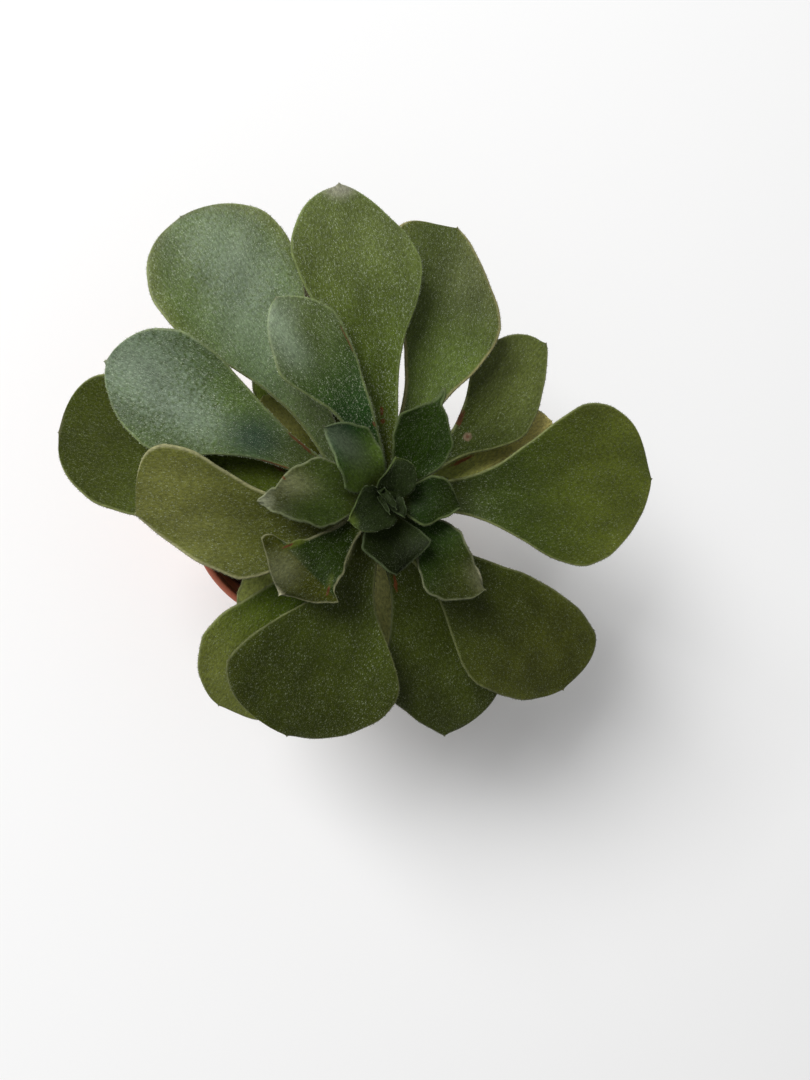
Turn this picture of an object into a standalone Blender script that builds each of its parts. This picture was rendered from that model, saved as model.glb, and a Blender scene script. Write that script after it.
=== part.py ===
"""A potted aeonium: an open rosette of downy, spoon-shaped leaves on a short leaning stem.

The stem stands in potting soil in a small terracotta-coloured plastic nursery pot. Every leaf is its
own piece, rooted against the stem in a rising spiral, and the tiny leaves of the growing tip are one
piece on the stem's end. Sizes are in metres and angles in degrees. The frame's origin is the centre
of the pot's underside, with +Z up.
"""

import math
from collections import namedtuple

import bmesh
import bpy
import numpy as np

# Pot
POT_HEIGHT = 0.066
RIM_RADIUS = 0.0400
COLLAR_HEIGHT = 0.0100
COLLAR_STEP = 0.0016
FOOT_RADIUS = 0.0270
WALL = 0.0013
RIM_WIDTH = 0.0022
BASE_THICKNESS = 0.0026
GROOVE_DEPTH = 0.0012
GROOVE_INNER = 0.0115
GROOVE_OUTER = 0.0215
DRAIN_COUNT = 6
DRAIN_RADIUS = 0.0026
POT_SEGMENTS = 40

# Soil
SOIL_DEPTH_BELOW_RIM = 0.0095
SOIL_RELIEF = 0.0011
SOIL_SEGMENTS = 32
CLEARANCE = 0.0003

# Stem
ROSETTE_AXIS = (0.0170, 0.0024)
STEM_BURIED_TO = 0.036
STEM_BEND_TOP = 0.108
STEM_TOP = 0.1205
STEM_FOOT_RADIUS = 0.0068
STEM_RADIUS = 0.0062
STEM_TIP_RADIUS = 0.0034
STEM_NARROWS_FROM = 0.106
STEM_SEGMENTS = 16

# Leaves
LEAF_ROWS_BELOW_BELLY = 7
LEAF_ROWS_ABOVE_BELLY = 6
LEAF_COLUMNS = 7
ROOT_WRAP = 0.16
MARGIN_SHARE = 0.5
MIDRIB_SAMPLES = 60
HANDLE = 0.36
FOLD_ROUND = 0.0016
FLARE_LENGTH = 0.05
FOLD_BOW = 0.065

LEAF_GREEN = (0.085, 0.130, 0.040)
YOUNG_GREEN = (0.040, 0.075, 0.028)
OLD_OLIVE = (0.110, 0.100, 0.035)
STEM_BROWN = (0.180, 0.120, 0.065)
SOIL_BROWN = (0.030, 0.020, 0.014)
POT_TERRACOTTA = (0.330, 0.100, 0.060)

# One leaf. root is the height and heading at which it leaves the stem. tip is the heading and reach
# from the rosette's axis, and the height. slope is its rise at the root and at the tip. left and
# right are the sides of the midrib seen from the stem, each with its widest half, how far along that
# is, how blunt the side is from there to the tip, and how pinched it is towards the root. cup is how
# far the margins turn up at root, belly and tip, and roll how far the left side is raised. aim is the
# heading at the tip of a leaf that bends sideways, and hook is how far its end turns down. point is
# the share of its length taken by the tip's point, and cusp the point's half-width. fold is for an end
# that is folded down: the share of its length at the fold, how steep the end is and how much wider.
# core is how far from the axis a leaf of the growing tip is rooted.
Leaf = namedtuple(
    "Leaf",
    "name root tip slope left right aim cup roll hook wave neck thick point cusp fold core",
    defaults=(None, (30, 14, 8), 0, 0.0, 0.0005, 0.0040, (0.0026, 0.0019), 0.010, 0.0090, None, None),
)
SMALL = {"cup": (30, 22, 10), "neck": 0.0031, "thick": (0.0020, 0.0016), "point": 0.02, "cusp": 0.0030}
POINTED = {**SMALL, "point": 0.14, "cusp": 0.0036}
BEAKED = {**SMALL, "point": 0.18, "cusp": 0.0075, "hook": 0.003}
FOLDED_OVER = {**SMALL, "point": 0.01, "fold": (0.70, 0.80, 0.55)}

LEAVES = [
    # The inner ring, youngest first: short leaves that rise and turn their faces to the sky.
    Leaf("leaf_01", (0.1188, -8), (-7, 0.0231, 0.1240), (42, -5),
         (0.0088, 0.58, 1.4, 1.8), (0.0070, 0.48, 1.1, 2.6), **SMALL),
    Leaf("leaf_02", (0.1172, 118), (135, 0.0278, 0.1290), (58, 5),
         (0.0096, 0.40, 1.15, 1.5), (0.0080, 0.62, 1.5, 1.8), **SMALL),
    Leaf("leaf_03", (0.1168, -85), (-82, 0.0232, 0.1220), (40, -8),
         (0.0116, 0.62, 1.15, 1.8), (0.0095, 0.53, 1.15, 1.8), **SMALL),
    Leaf("leaf_04", (0.1142, 52), (63, 0.0362, 0.1275), (52, 5),
         (0.0102, 0.62, 1.25, 2.6), (0.0098, 0.56, 1.3, 2.0), **POINTED),
    Leaf("leaf_05", (0.1138, 180), (-178, 0.0384, 0.1210), (45, -22),
         (0.0088, 0.50, 1.6, 2.0), (0.0122, 0.50, 1.8, 2.2), **BEAKED),
    Leaf("leaf_06", (0.1108, -45), (-41, 0.0426, 0.1200), (38, 2),
         (0.0094, 0.50, 1.1, 2.2), (0.0126, 0.65, 1.6, 6.0), **SMALL),
    Leaf("leaf_07", (0.1112, -136), (-136, 0.0446, 0.1185), (36, -14),
         (0.0088, 0.66, 1.0, 4.0), (0.0110, 0.74, 1.0, 4.0), **FOLDED_OVER),
    # The middle of the rosette: full-grown leaves held level or a little below.
    Leaf("leaf_08", (0.1108, 100), (120, 0.0652, 0.1240), (34, -8),
         (0.0120, 0.71, 1.8, 8.0), (0.0123, 0.80, 1.7, 3.6), aim=120),
    Leaf("leaf_09", (0.1042, 4), (5, 0.0950, 0.1100), (18, -14),
         (0.0262, 0.76, 2.1, 4.6), (0.0267, 0.67, 1.5, 4.0), neck=0.0048),
    Leaf("leaf_10", (0.1075, 195), (-176, 0.0720, 0.1060), (16, -17),
         (0.0180, 0.55, 1.15, 2.2), (0.0218, 0.86, 3.0, 4.2), aim=176, roll=-12),
    Leaf("leaf_11", (0.0976, -45), (-43, 0.0950, 0.0940), (18, -20),
         (0.0197, 0.88, 2.0, 2.0), (0.0240, 0.62, 2.0, 4.6), aim=-62),
    Leaf("leaf_12", (0.1075, 80), (98, 0.0951, 0.1160), (24, -6),
         (0.0197, 0.78, 2.0, 3.2), (0.0189, 0.70, 1.5, 7.8), aim=101, neck=0.0034, cusp=0.0110),
    Leaf("leaf_13", (0.1009, -92), (-109, 0.0803, 0.0920), (14, -24),
         (0.0249, 0.64, 1.7, 6.6), (0.0290, 0.77, 1.95, 2.5), aim=-116),
    # The outer ring: the largest leaves, which arch out and droop past the rim.
    Leaf("leaf_14", (0.1042, 154), (154, 0.0892, 0.1080), (22, -12),
         (0.0172, 0.75, 1.7, 6.2), (0.0181, 0.79, 1.85, 3.8), roll=-12),
    Leaf("leaf_15", (0.1009, 60), (73, 0.0925, 0.1060), (18, -10),
         (0.0210, 0.86, 3.5, 4.0), (0.0194, 0.66, 1.25, 5.2), aim=80),
    Leaf("leaf_16", (0.0910, -48), (-70, 0.0861, 0.0840), (14, -26),
         (0.0220, 0.74, 1.55, 2.6), (0.0215, 0.71, 1.2, 2.9), aim=-88),
    Leaf("leaf_17", (0.0943, 26), (42, 0.0817, 0.1000), (20, -6),
         (0.0160, 0.74, 2.2, 10.0), (0.0147, 0.64, 1.3, 8.5), aim=50, neck=0.0034),
    Leaf("leaf_18", (0.0976, -130), (-125, 0.0826, 0.0780), (8, -34),
         (0.0200, 0.80, 3.5, 3.0), (0.0173, 0.71, 1.65, 4.2)),
    Leaf("leaf_19", (0.0976, 122), (125, 0.1032, 0.1040), (16, -8),
         (0.0222, 0.76, 2.2, 4.8), (0.0233, 0.79, 2.0, 4.5), neck=0.0046, point=0.006, cusp=0.0040),
    Leaf("leaf_20", (0.1009, 168), (168, 0.0974, 0.0900), (10, -22),
         (0.0202, 0.69, 2.1, 3.0), (0.0215, 0.78, 2.6, 3.0), point=0.006, cusp=0.0040),
    # Old and low leaves, shaded by the rest.
    Leaf("leaf_21", (0.0877, 12), (24, 0.0729, 0.0920), (16, -10),
         (0.0130, 0.66, 2.0, 2.0), (0.0130, 0.66, 2.0, 2.0), cusp=0.0030),
    Leaf("leaf_22", (0.0877, -82), (-82, 0.0560, 0.0800), (6, -20),
         (0.0130, 0.62, 2.0, 1.2), (0.0115, 0.66, 2.0, 1.8), cusp=0.0030),
    Leaf("leaf_23", (0.0910, -147), (-135, 0.0545, 0.0800), (8, -20),
         (0.0120, 0.66, 2.0, 2.0), (0.0080, 0.70, 2.4, 2.0), cusp=0.0030),
    Leaf("leaf_24", (0.0910, 140), (135, 0.0479, 0.0920), (14, -10),
         (0.0110, 0.66, 2.0, 2.0), (0.0110, 0.66, 2.0, 2.0), cusp=0.0030),
    Leaf("leaf_25", (0.0877, 108), (105, 0.0850, 0.0880), (6, -8),
         (0.0110, 0.66, 2.0, 2.0), (0.0110, 0.66, 2.0, 2.0), cusp=0.0030),
    Leaf("leaf_26", (0.0844, 150), (125, 0.0615, 0.0850), (10, -10),
         (0.0028, 0.66, 2.0, 2.0), (0.0028, 0.66, 2.0, 2.0), aim=92, neck=0.0022, cusp=0.0012),
]

# The growing tip: tiny leaves rooted inside a small dome.
BUD_BASE = 0.1208
BUD_RADIUS = 0.0036
BUD_HEIGHT = 0.0042
TINY = {"cup": (40, 34, 24), "neck": 0.0024, "thick": (0.0016, 0.0013), "point": 0.03, "cusp": 0.0007}

BUD_LEAVES = [
    Leaf("bud_1", (0.1229, -145), (-151, 0.0143, 0.1275), (66, -8),
         (0.0078, 0.28, 2.0, 0.6), (0.0068, 0.46, 1.05, 0.8), core=0.0018, **TINY),
    Leaf("bud_2", (0.1231, 60), (83, 0.0118, 0.1285), (68, 0),
         (0.0056, 0.34, 1.1, 0.8), (0.0068, 0.52, 1.9, 1.0), core=0.0018, **TINY),
    Leaf("bud_3", (0.1232, -30), (-54, 0.0074, 0.1272), (70, 0),
         (0.0028, 0.45, 1.4, 0.9), (0.0026, 0.45, 1.4, 0.9), core=0.0018, **TINY),
    Leaf("bud_4", (0.1240, 62), (66, 0.0030, 0.1290), (62, 55),
         (0.0024, 0.55, 1.5, 0.8), (0.0026, 0.55, 1.5, 0.8), core=0.0012, **TINY),
]


def clear_scene():
    for item in list(bpy.data.objects):
        bpy.data.objects.remove(item, do_unlink=True)


def material(name, colour, roughness):
    """A plain finish in the piece's own colour."""
    made = bpy.data.materials.new(name)
    made.use_nodes = True
    shader = made.node_tree.nodes["Principled BSDF"]
    shader.inputs["Base Color"].default_value = (*colour, 1.0)
    shader.inputs["Roughness"].default_value = roughness
    shader.inputs["Metallic"].default_value = 0.0
    return made


def add_object(name, points, faces, finish, smooth_below=40):
    """A mesh object from points and faces, shaded smooth across edges flatter than the angle."""
    mesh = bpy.data.meshes.new(name)
    mesh.from_pydata([tuple(p) for p in points], [], faces)
    mesh.materials.append(finish)
    mesh.shade_smooth()
    mesh.set_sharp_from_angle(angle=math.radians(smooth_below))
    made = bpy.data.objects.new(name, mesh)
    bpy.context.scene.collection.objects.link(made)
    return made


def smooth_step(x):
    x = np.clip(x, 0.0, 1.0)
    return x * x * (3.0 - 2.0 * x)


def turned(profile, segments, height_at=None):
    """Points and faces of a closed profile turned about Z, from its first point on the axis to its last."""
    points = [(0.0, 0.0, profile[0][1])]
    for radius, height in profile[1:-1]:
        for step in range(segments):
            angle = 2.0 * math.pi * step / segments
            lift = height_at(radius, angle, height) if height_at else 0.0
            points.append((radius * math.cos(angle), radius * math.sin(angle), height + lift))
    points.append((0.0, 0.0, profile[-1][1]))
    last = len(points) - 1
    faces = []
    for step in range(segments):
        after = (step + 1) % segments
        faces.append((0, 1 + after, 1 + step))
        for ring in range(len(profile) - 3):
            low, high = 1 + ring * segments, 1 + (ring + 1) * segments
            faces.append((low + step, low + after, high + after, high + step))
        faces.append((last, last - segments + step, last - segments + after))
    return points, faces


def pot_inner_radius(height):
    """Radius of the pot's inside wall at a height."""
    step_height = POT_HEIGHT - COLLAR_HEIGHT
    slope = (RIM_RADIUS - COLLAR_STEP - RIM_WIDTH - FOOT_RADIUS) / step_height
    return FOOT_RADIUS - WALL + slope * height


def build_pot(finish):
    """Tapered pot with a collar and rounded lip, and a grooved base with drain holes in the groove."""
    step_height = POT_HEIGHT - COLLAR_HEIGHT
    wall_top = pot_inner_radius(step_height) + WALL
    inner_rim = RIM_RADIUS - RIM_WIDTH
    profile = [
        (0.0, 0.0),
        (GROOVE_INNER, 0.0),
        (GROOVE_INNER + 0.0008, GROOVE_DEPTH),
        (GROOVE_OUTER, GROOVE_DEPTH),
        (GROOVE_OUTER + 0.0008, 0.0),
        (FOOT_RADIUS - 0.0010, 0.0),
        (FOOT_RADIUS, 0.0010),
        (wall_top - 0.0004, step_height - 0.0020),
        (wall_top + COLLAR_STEP, step_height),
        (RIM_RADIUS - 0.0003, POT_HEIGHT - 0.0022),
        (RIM_RADIUS, POT_HEIGHT - 0.0011),
        (RIM_RADIUS - 0.0005, POT_HEIGHT - 0.0002),
        (RIM_RADIUS - RIM_WIDTH / 2, POT_HEIGHT),
        (inner_rim + 0.0003, POT_HEIGHT - 0.0004),
        (inner_rim, POT_HEIGHT - 0.0013),
        (inner_rim - 0.0006, step_height + 0.0005),
        (pot_inner_radius(step_height - 0.0020), step_height - 0.0020),
        (pot_inner_radius(BASE_THICKNESS + 0.0010), BASE_THICKNESS + 0.0010),
        (pot_inner_radius(BASE_THICKNESS) - 0.0010, BASE_THICKNESS),
        (0.0, BASE_THICKNESS),
    ]
    points, faces = turned(profile, POT_SEGMENTS)
    pot = add_object("pot", points, faces, finish)
    ring = (GROOVE_INNER + GROOVE_OUTER) / 2 + 0.0004
    for number in range(DRAIN_COUNT):
        angle = 2.0 * math.pi * (number + 0.5) / DRAIN_COUNT
        cut_hole(pot, f"drain_cutter_{number + 1}", ring * math.cos(angle), ring * math.sin(angle))


def cut_hole(pot, name, x, y):
    """Cuts one round drain hole through the base with a hidden cylinder."""
    bm = bmesh.new()
    bmesh.ops.create_cone(
        bm, cap_ends=True, segments=12, radius1=DRAIN_RADIUS, radius2=DRAIN_RADIUS, depth=4 * BASE_THICKNESS
    )
    mesh = bpy.data.meshes.new(name)
    bm.to_mesh(mesh)
    bm.free()
    cutter = bpy.data.objects.new(name, mesh)
    cutter.location = (x, y, BASE_THICKNESS / 2)
    cutter.display_type = "WIRE"
    cutter.hide_render = True
    bpy.context.scene.collection.objects.link(cutter)
    modifier = pot.modifiers.new(name, "BOOLEAN")
    modifier.operation = "DIFFERENCE"
    modifier.solver = "MANIFOLD"
    modifier.object = cutter


def soil_relief(radius, angle, height):
    """Low lumps on the soil's top, and nothing on its sides, its underside or the stem's hole."""
    top = POT_HEIGHT - SOIL_DEPTH_BELOW_RIM
    if abs(height - top) > 0.002:
        return 0.0
    lumps = math.sin(5 * angle + 210 * radius) + math.sin(3 * angle - 420 * radius + 1.3)
    lumps += 0.8 * math.sin(8 * angle + 640 * radius)
    clear_of_stem = smooth_step((radius - STEM_FOOT_RADIUS - 0.002) / 0.004)
    return SOIL_RELIEF * lumps / 2.8 * clear_of_stem


def build_soil(finish):
    """Potting soil that fills the pot, with a plain hole for the stem's buried end."""
    top = POT_HEIGHT - SOIL_DEPTH_BELOW_RIM
    bottom = BASE_THICKNESS + CLEARANCE
    hole = STEM_FOOT_RADIUS + CLEARANCE
    hole_bottom = STEM_BURIED_TO - CLEARANCE
    edge = pot_inner_radius(top - 0.003) - 2 * CLEARANCE
    profile = [
        (0.0, bottom),
        (pot_inner_radius(bottom) - 0.0022, bottom),
        (pot_inner_radius(bottom + 0.002) - 2 * CLEARANCE, bottom + 0.002),
        (edge, top - 0.003),
        (edge + 0.0002, top - 0.0004),
        (edge - 0.0035, top + 0.0003),
        (edge - 0.0085, top),
        (edge - 0.0140, top + 0.0004),
        (edge - 0.0195, top),
        (hole + 0.0035, top + 0.0005),
        (hole, top - 0.0005),
        (hole, hole_bottom),
        (0.0, hole_bottom),
    ]
    points, faces = turned(profile, SOIL_SEGMENTS, soil_relief)
    add_object("soil", points, faces, finish)


def stem_axis(height):
    """Centre of the stem at a height: upright in the soil, leaning over, then upright in the rosette."""
    soil_top = POT_HEIGHT - SOIL_DEPTH_BELOW_RIM
    share = smooth_step((height - soil_top - 0.001) / (STEM_BEND_TOP - soil_top - 0.001))
    return np.array([ROSETTE_AXIS[0] * share, ROSETTE_AXIS[1] * share, height])


def stem_radius(height):
    """Radius of the stem at a height, narrowing to the growing tip."""
    soil_top = POT_HEIGHT - SOIL_DEPTH_BELOW_RIM
    foot = smooth_step((height - soil_top) / 0.02)
    radius = STEM_FOOT_RADIUS + (STEM_RADIUS - STEM_FOOT_RADIUS) * foot
    narrow = smooth_step((height - STEM_NARROWS_FROM) / (STEM_TOP - STEM_NARROWS_FROM))
    return radius + (STEM_TIP_RADIUS - radius) * narrow


def build_stem(finish):
    """Short woody stem with the scars of fallen leaves below the rosette."""
    soil_top = POT_HEIGHT - SOIL_DEPTH_BELOW_RIM
    lowest_leaf = min(leaf.root[0] for leaf in LEAVES) - 0.003
    heights = [STEM_BURIED_TO, STEM_BURIED_TO + 0.004, soil_top - 0.002]
    heights += list(np.linspace(soil_top + 0.001, lowest_leaf, 12))
    heights += list(np.linspace(lowest_leaf, STEM_TOP, 10)[1:])
    points = [tuple(stem_axis(heights[0]))]
    for height in heights:
        centre, radius = stem_axis(height), stem_radius(height)
        if height < STEM_BURIED_TO + 0.001:
            radius *= 0.6
        bare = soil_top + 0.004 < height < lowest_leaf - 0.001
        for step in range(STEM_SEGMENTS):
            angle = 2.0 * math.pi * step / STEM_SEGMENTS
            scar = 0.0005 * math.sin(2 * math.pi * height / 0.0065 + 2 * angle) if bare else 0.0
            out = np.array([math.cos(angle), math.sin(angle), 0.0]) * (radius + scar)
            points.append(tuple(centre + out))
    points.append(tuple(stem_axis(STEM_TOP)))
    last = len(points) - 1
    faces = []
    for step in range(STEM_SEGMENTS):
        after = (step + 1) % STEM_SEGMENTS
        faces.append((0, 1 + after, 1 + step))
        for ring in range(len(heights) - 1):
            low, high = 1 + ring * STEM_SEGMENTS, 1 + (ring + 1) * STEM_SEGMENTS
            faces.append((low + step, low + after, high + after, high + step))
        faces.append((last, last - STEM_SEGMENTS + step, last - STEM_SEGMENTS + after))
    add_object("stem", points, faces, finish)


def heading(azimuth, rise):
    """Unit vector at an azimuth and a rise, both in degrees."""
    a, e = math.radians(azimuth), math.radians(rise)
    return np.array([math.cos(a) * math.cos(e), math.sin(a) * math.cos(e), math.sin(e)])


def root_radius(leaf, level):
    """How far from the stem's axis a leaf is rooted at a height."""
    return leaf.core or stem_radius(level) + CLEARANCE


def leaf_midrib(leaf):
    """Closely spaced points along a leaf's midrib, from the stem's surface to the leaf's end."""
    height, azimuth = leaf.root
    root = stem_axis(height) + root_radius(leaf, height) * heading(azimuth, 0)
    tip_azimuth, reach, tip_height = leaf.tip
    tip = np.array([*ROSETTE_AXIS, 0.0]) + reach * heading(tip_azimuth, 0)
    tip[2] = tip_height
    chord = np.linalg.norm(tip - root)
    near = root + HANDLE * chord * heading(azimuth, leaf.slope[0])
    aim = leaf.aim
    if aim is None:
        aim = math.degrees(math.atan2(tip[1] - near[1], tip[0] - near[0]))
    far = tip - HANDLE * chord * heading(aim, leaf.slope[1])
    u = np.linspace(0.0, 1.0, MIDRIB_SAMPLES)[:, None]
    return (1 - u) ** 3 * root + 3 * (1 - u) ** 2 * u * near + 3 * (1 - u) * u**2 * far + u**3 * tip


def along_curve(points, shares):
    """Points at shares of a curve's length, and that length."""
    steps = np.linalg.norm(np.diff(points, axis=0), axis=1)
    length = np.concatenate([[0.0], np.cumsum(steps)])
    at = np.asarray(shares) * length[-1]
    return np.stack([np.interp(at, length, points[:, k]) for k in range(3)], axis=1), length[-1]


def leaf_rows(below, above, belly):
    """Shares along the midrib for the rows: even up to the belly, then closer towards the tip."""
    lower = belly * np.linspace(0.0, 1.0, below)
    upper = belly + (0.985 - belly) * np.sin(0.5 * np.pi * np.linspace(0.0, 1.0, above + 1))[1:]
    return np.concatenate([lower, upper])


def half_width(leaf, t, side):
    """Half-width of the leaf at a share of its length, on its left (1) or right (-1) side."""
    widest, belly, blunt, waist = leaf.left if side > 0 else leaf.right
    cusp = leaf.cusp * min(1.0, (1.0 - t) / (1.0 - belly)) ** 0.7
    flare = 1.0
    if leaf.fold:
        flare += leaf.fold[2] * smooth_step((t - leaf.fold[0] + FOLD_BOW) / FLARE_LENGTH)
    if t <= belly:
        return flare * (leaf.neck + (widest - leaf.neck) * math.sin(0.5 * math.pi * t / belly) ** waist)
    v = min(1.0, (t - belly) / (1.0 - leaf.point - belly))
    end = math.sqrt(widest**2 - leaf.cusp**2) * (1.0 - v**blunt) ** (1.0 / blunt)
    return flare * math.hypot(end, cusp)


def fold_drop(leaf, t, share, length):
    """How far a folded end lies below the flat blade, past a fold that bows out along the midrib."""
    if not leaf.fold:
        return 0.0
    beyond = length * (t - leaf.fold[0] + FOLD_BOW * share**2)
    return leaf.fold[1] * 0.5 * (beyond + math.hypot(beyond, FOLD_ROUND))


def leaf_faces_at(leaf, rows, columns):
    """The upper and lower faces' points, each rows by columns, and the two points of the leaf's tip."""
    curve = leaf_midrib(leaf)
    middle, length = along_curve(curve, rows)
    after, _ = along_curve(curve, np.minimum(1.0, rows + 0.01))
    before, _ = along_curve(curve, np.maximum(0.0, rows - 0.01))
    ahead = (after - before) / np.linalg.norm(after - before, axis=1)[:, None]
    left = np.cross([0.0, 0.0, 1.0], ahead)
    left /= np.linalg.norm(left, axis=1)[:, None]
    height, azimuth = leaf.root
    upper = np.zeros((len(rows), len(columns), 3))
    lower = np.zeros_like(upper)
    for i, t in enumerate(rows):
        turn = math.radians(leaf.roll) * smooth_step(t / 0.6)
        normal = np.cross(ahead[i], left[i])
        side_way = math.cos(turn) * left[i] + math.sin(turn) * normal
        normal = math.cos(turn) * normal - math.sin(turn) * left[i]
        cup = math.radians(np.interp(t, [0.0, 0.7, 1.0], leaf.cup))
        cup = cup if abs(cup) > 1e-3 else 1e-3
        thick = leaf.thick[0] + (leaf.thick[1] - leaf.thick[0]) * smooth_step(t / 0.5)
        hooked = leaf.hook * max(0.0, (t - 0.6) / 0.4) ** 2
        rippled = leaf.wave * smooth_step(t / 0.5)
        joined = 1.0 - smooth_step(t / ROOT_WRAP)
        for j, s in enumerate(columns):
            side, share = (1.0, s) if s >= 0 else (-1.0, -s)
            half = half_width(leaf, t, side)
            across = half * math.sin(cup * share) / cup
            lift = half * (1.0 - math.cos(cup * share)) / cup
            lift += rippled * share**2 * math.sin(2 * math.pi * (1.6 * t + 0.2 * side))
            facing = math.cos(cup * share) * normal - math.sin(cup * share) * side * side_way
            lift -= hooked + fold_drop(leaf, t, share, length)
            centre = middle[i] + side * across * side_way + lift * normal
            depth = 0.5 * thick * (MARGIN_SHARE + (1.0 - MARGIN_SHARE) * (1.0 - share**2))
            for face, sign in ((upper, 1.0), (lower, -1.0)):
                free = centre + sign * depth * facing
                if joined > 0:
                    level = height + lift + sign * depth / math.cos(math.radians(leaf.slope[0]))
                    hold = root_radius(leaf, level)
                    round_stem = azimuth + math.degrees(s * leaf.neck / hold)
                    rooted = stem_axis(level) + hold * heading(round_stem, 0)
                    free = free + joined * (rooted - free)
                face[i, j] = free
    over = np.cross(ahead[-1], left[-1])
    end = curve[-1] - (leaf.hook + fold_drop(leaf, 1.0, 0.0, length)) * over
    return upper, lower, end + 0.25 * leaf.thick[1] * over, end - 0.25 * leaf.thick[1] * over


def leaf_mesh(leaf, rows, columns):
    """A closed leaf: two faces split into triangles alike, a side all round, and a pointed tip."""
    upper, lower, tip_high, tip_low = leaf_faces_at(leaf, rows, columns)
    count_r, count_c = len(rows), len(columns)
    points = [*upper.reshape(-1, 3), *lower.reshape(-1, 3), tip_high, tip_low]
    under = count_r * count_c
    high, low = len(points) - 2, len(points) - 1
    faces = []
    for i in range(count_r - 1):
        for j in range(count_c - 1):
            a = i * count_c + j
            b, c, d = a + 1, a + count_c + 1, a + count_c
            faces += [(a, d, c), (a, c, b)]
            faces += [(under + a, under + c, under + d), (under + a, under + b, under + c)]
    end = (count_r - 1) * count_c
    for j in range(count_c - 1):
        faces.append((end + j, high, end + j + 1))
        faces.append((under + end + j, under + end + j + 1, low))
        faces.append((j, j + 1, under + j + 1))
        faces.append((j, under + j + 1, under + j))
    for i in range(count_r - 1):
        a, b = i * count_c, (i + 1) * count_c
        faces += [(a, under + a, under + b), (a, under + b, b)]
        a, b = a + count_c - 1, b + count_c - 1
        faces += [(a, b, under + b), (a, under + b, under + a)]
    first, final = end, end + count_c - 1
    faces += [(first, under + first, low), (first, low, high)]
    faces += [(final, high, low), (final, low, under + final)]
    return points, faces


def build_leaf(leaf, finish, below, above, columns):
    rows = leaf_rows(below, above, 0.5 * (leaf.left[1] + leaf.right[1]))
    points, faces = leaf_mesh(leaf, rows, np.linspace(-1.0, 1.0, columns))
    return add_object(leaf.name, points, faces, finish, smooth_below=50)


def build_heart(finish):
    """The growing tip: a small dome with tiny leaves, joined into one body."""
    rings = 4
    shoulder = BUD_BASE + 0.0010
    profile = [(0.0, BUD_BASE), (STEM_TIP_RADIUS - 0.0004, BUD_BASE)]
    for ring in range(rings):
        angle = 0.5 * math.pi * ring / rings
        profile.append((BUD_RADIUS * math.cos(angle), shoulder + BUD_HEIGHT * math.sin(angle)))
    profile.append((0.0, shoulder + BUD_HEIGHT))
    points, faces = turned(profile, 12)
    points = [(x + ROSETTE_AXIS[0], y + ROSETTE_AXIS[1], z) for x, y, z in points]
    heart = add_object("heart", points, faces, finish)
    joined = bpy.data.collections.new("heart_leaves")
    for tiny in BUD_LEAVES:
        leaf = build_leaf(tiny, finish, 5, 4, 5)
        bpy.context.scene.collection.objects.unlink(leaf)
        joined.objects.link(leaf)
    modifier = heart.modifiers.new("join", "BOOLEAN")
    modifier.operation = "UNION"
    modifier.operand_type = "COLLECTION"
    modifier.collection = joined
    modifier.solver = "MANIFOLD"
    graph = bpy.context.evaluated_depsgraph_get()
    fused = bpy.data.meshes.new_from_object(heart.evaluated_get(graph))
    heart.modifiers.clear()
    heart.data = fused
    for leaf in list(joined.objects):
        bpy.data.objects.remove(leaf, do_unlink=True)
    bpy.data.collections.remove(joined)


def main():
    clear_scene()
    build_pot(material("pot_plastic", POT_TERRACOTTA, 0.55))
    build_soil(material("potting_soil", SOIL_BROWN, 0.95))
    build_stem(material("stem_bark", STEM_BROWN, 0.85))
    young = material("young_leaf", YOUNG_GREEN, 0.6)
    grown = material("grown_leaf", LEAF_GREEN, 0.55)
    old = material("old_leaf", OLD_OLIVE, 0.65)
    for number, leaf in enumerate(LEAVES):
        finish = young if number < 7 else grown if number < 20 else old
        build_leaf(leaf, finish, LEAF_ROWS_BELOW_BELLY, LEAF_ROWS_ABOVE_BELLY, LEAF_COLUMNS)
    build_heart(young)


main()
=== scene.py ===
"""The looks of a potted aeonium: a downy rosette on a leaning stem, in a terracotta-coloured nursery pot.

Lengths are in metres unless a name says mm, and angles are in degrees. The frame's origin is the
centre of the pot's underside, with +Z up.
"""

import math
from collections import namedtuple

import bpy
import numpy as np
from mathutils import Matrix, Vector, noise


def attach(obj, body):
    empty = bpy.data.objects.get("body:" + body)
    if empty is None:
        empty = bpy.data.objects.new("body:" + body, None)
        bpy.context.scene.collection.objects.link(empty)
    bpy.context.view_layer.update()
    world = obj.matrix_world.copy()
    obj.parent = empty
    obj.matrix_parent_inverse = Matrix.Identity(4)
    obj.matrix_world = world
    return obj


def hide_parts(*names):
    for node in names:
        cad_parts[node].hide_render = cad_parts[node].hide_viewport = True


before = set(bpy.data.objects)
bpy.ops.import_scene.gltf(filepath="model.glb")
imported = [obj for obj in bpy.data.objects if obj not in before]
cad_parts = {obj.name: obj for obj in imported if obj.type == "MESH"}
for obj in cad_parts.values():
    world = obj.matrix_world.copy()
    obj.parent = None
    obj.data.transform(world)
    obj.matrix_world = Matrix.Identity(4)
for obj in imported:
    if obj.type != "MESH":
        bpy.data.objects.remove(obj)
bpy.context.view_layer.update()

# Pot
# A small nursery pot, injection-moulded in one shot of terracotta-coloured polypropylene. The wall
# tapers to a narrow foot, a stiff collar and a rolled lip run round the top, and drain holes are
# moulded through the groove in the base.
POT_HEIGHT = 0.066
RIM_RADIUS = 0.0400
COLLAR_HEIGHT = 0.0100
COLLAR_BASE = POT_HEIGHT - COLLAR_HEIGHT
COLLAR_STEP = 0.0016
FOOT_RADIUS = 0.0270
WALL = 0.0013
WALL_ROWS = 12
RIM_WIDTH = 0.0022
ROUNDING = 0.0010
FINE_ROUNDING = 0.0005
BASE_THICKNESS = 0.0026
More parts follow.
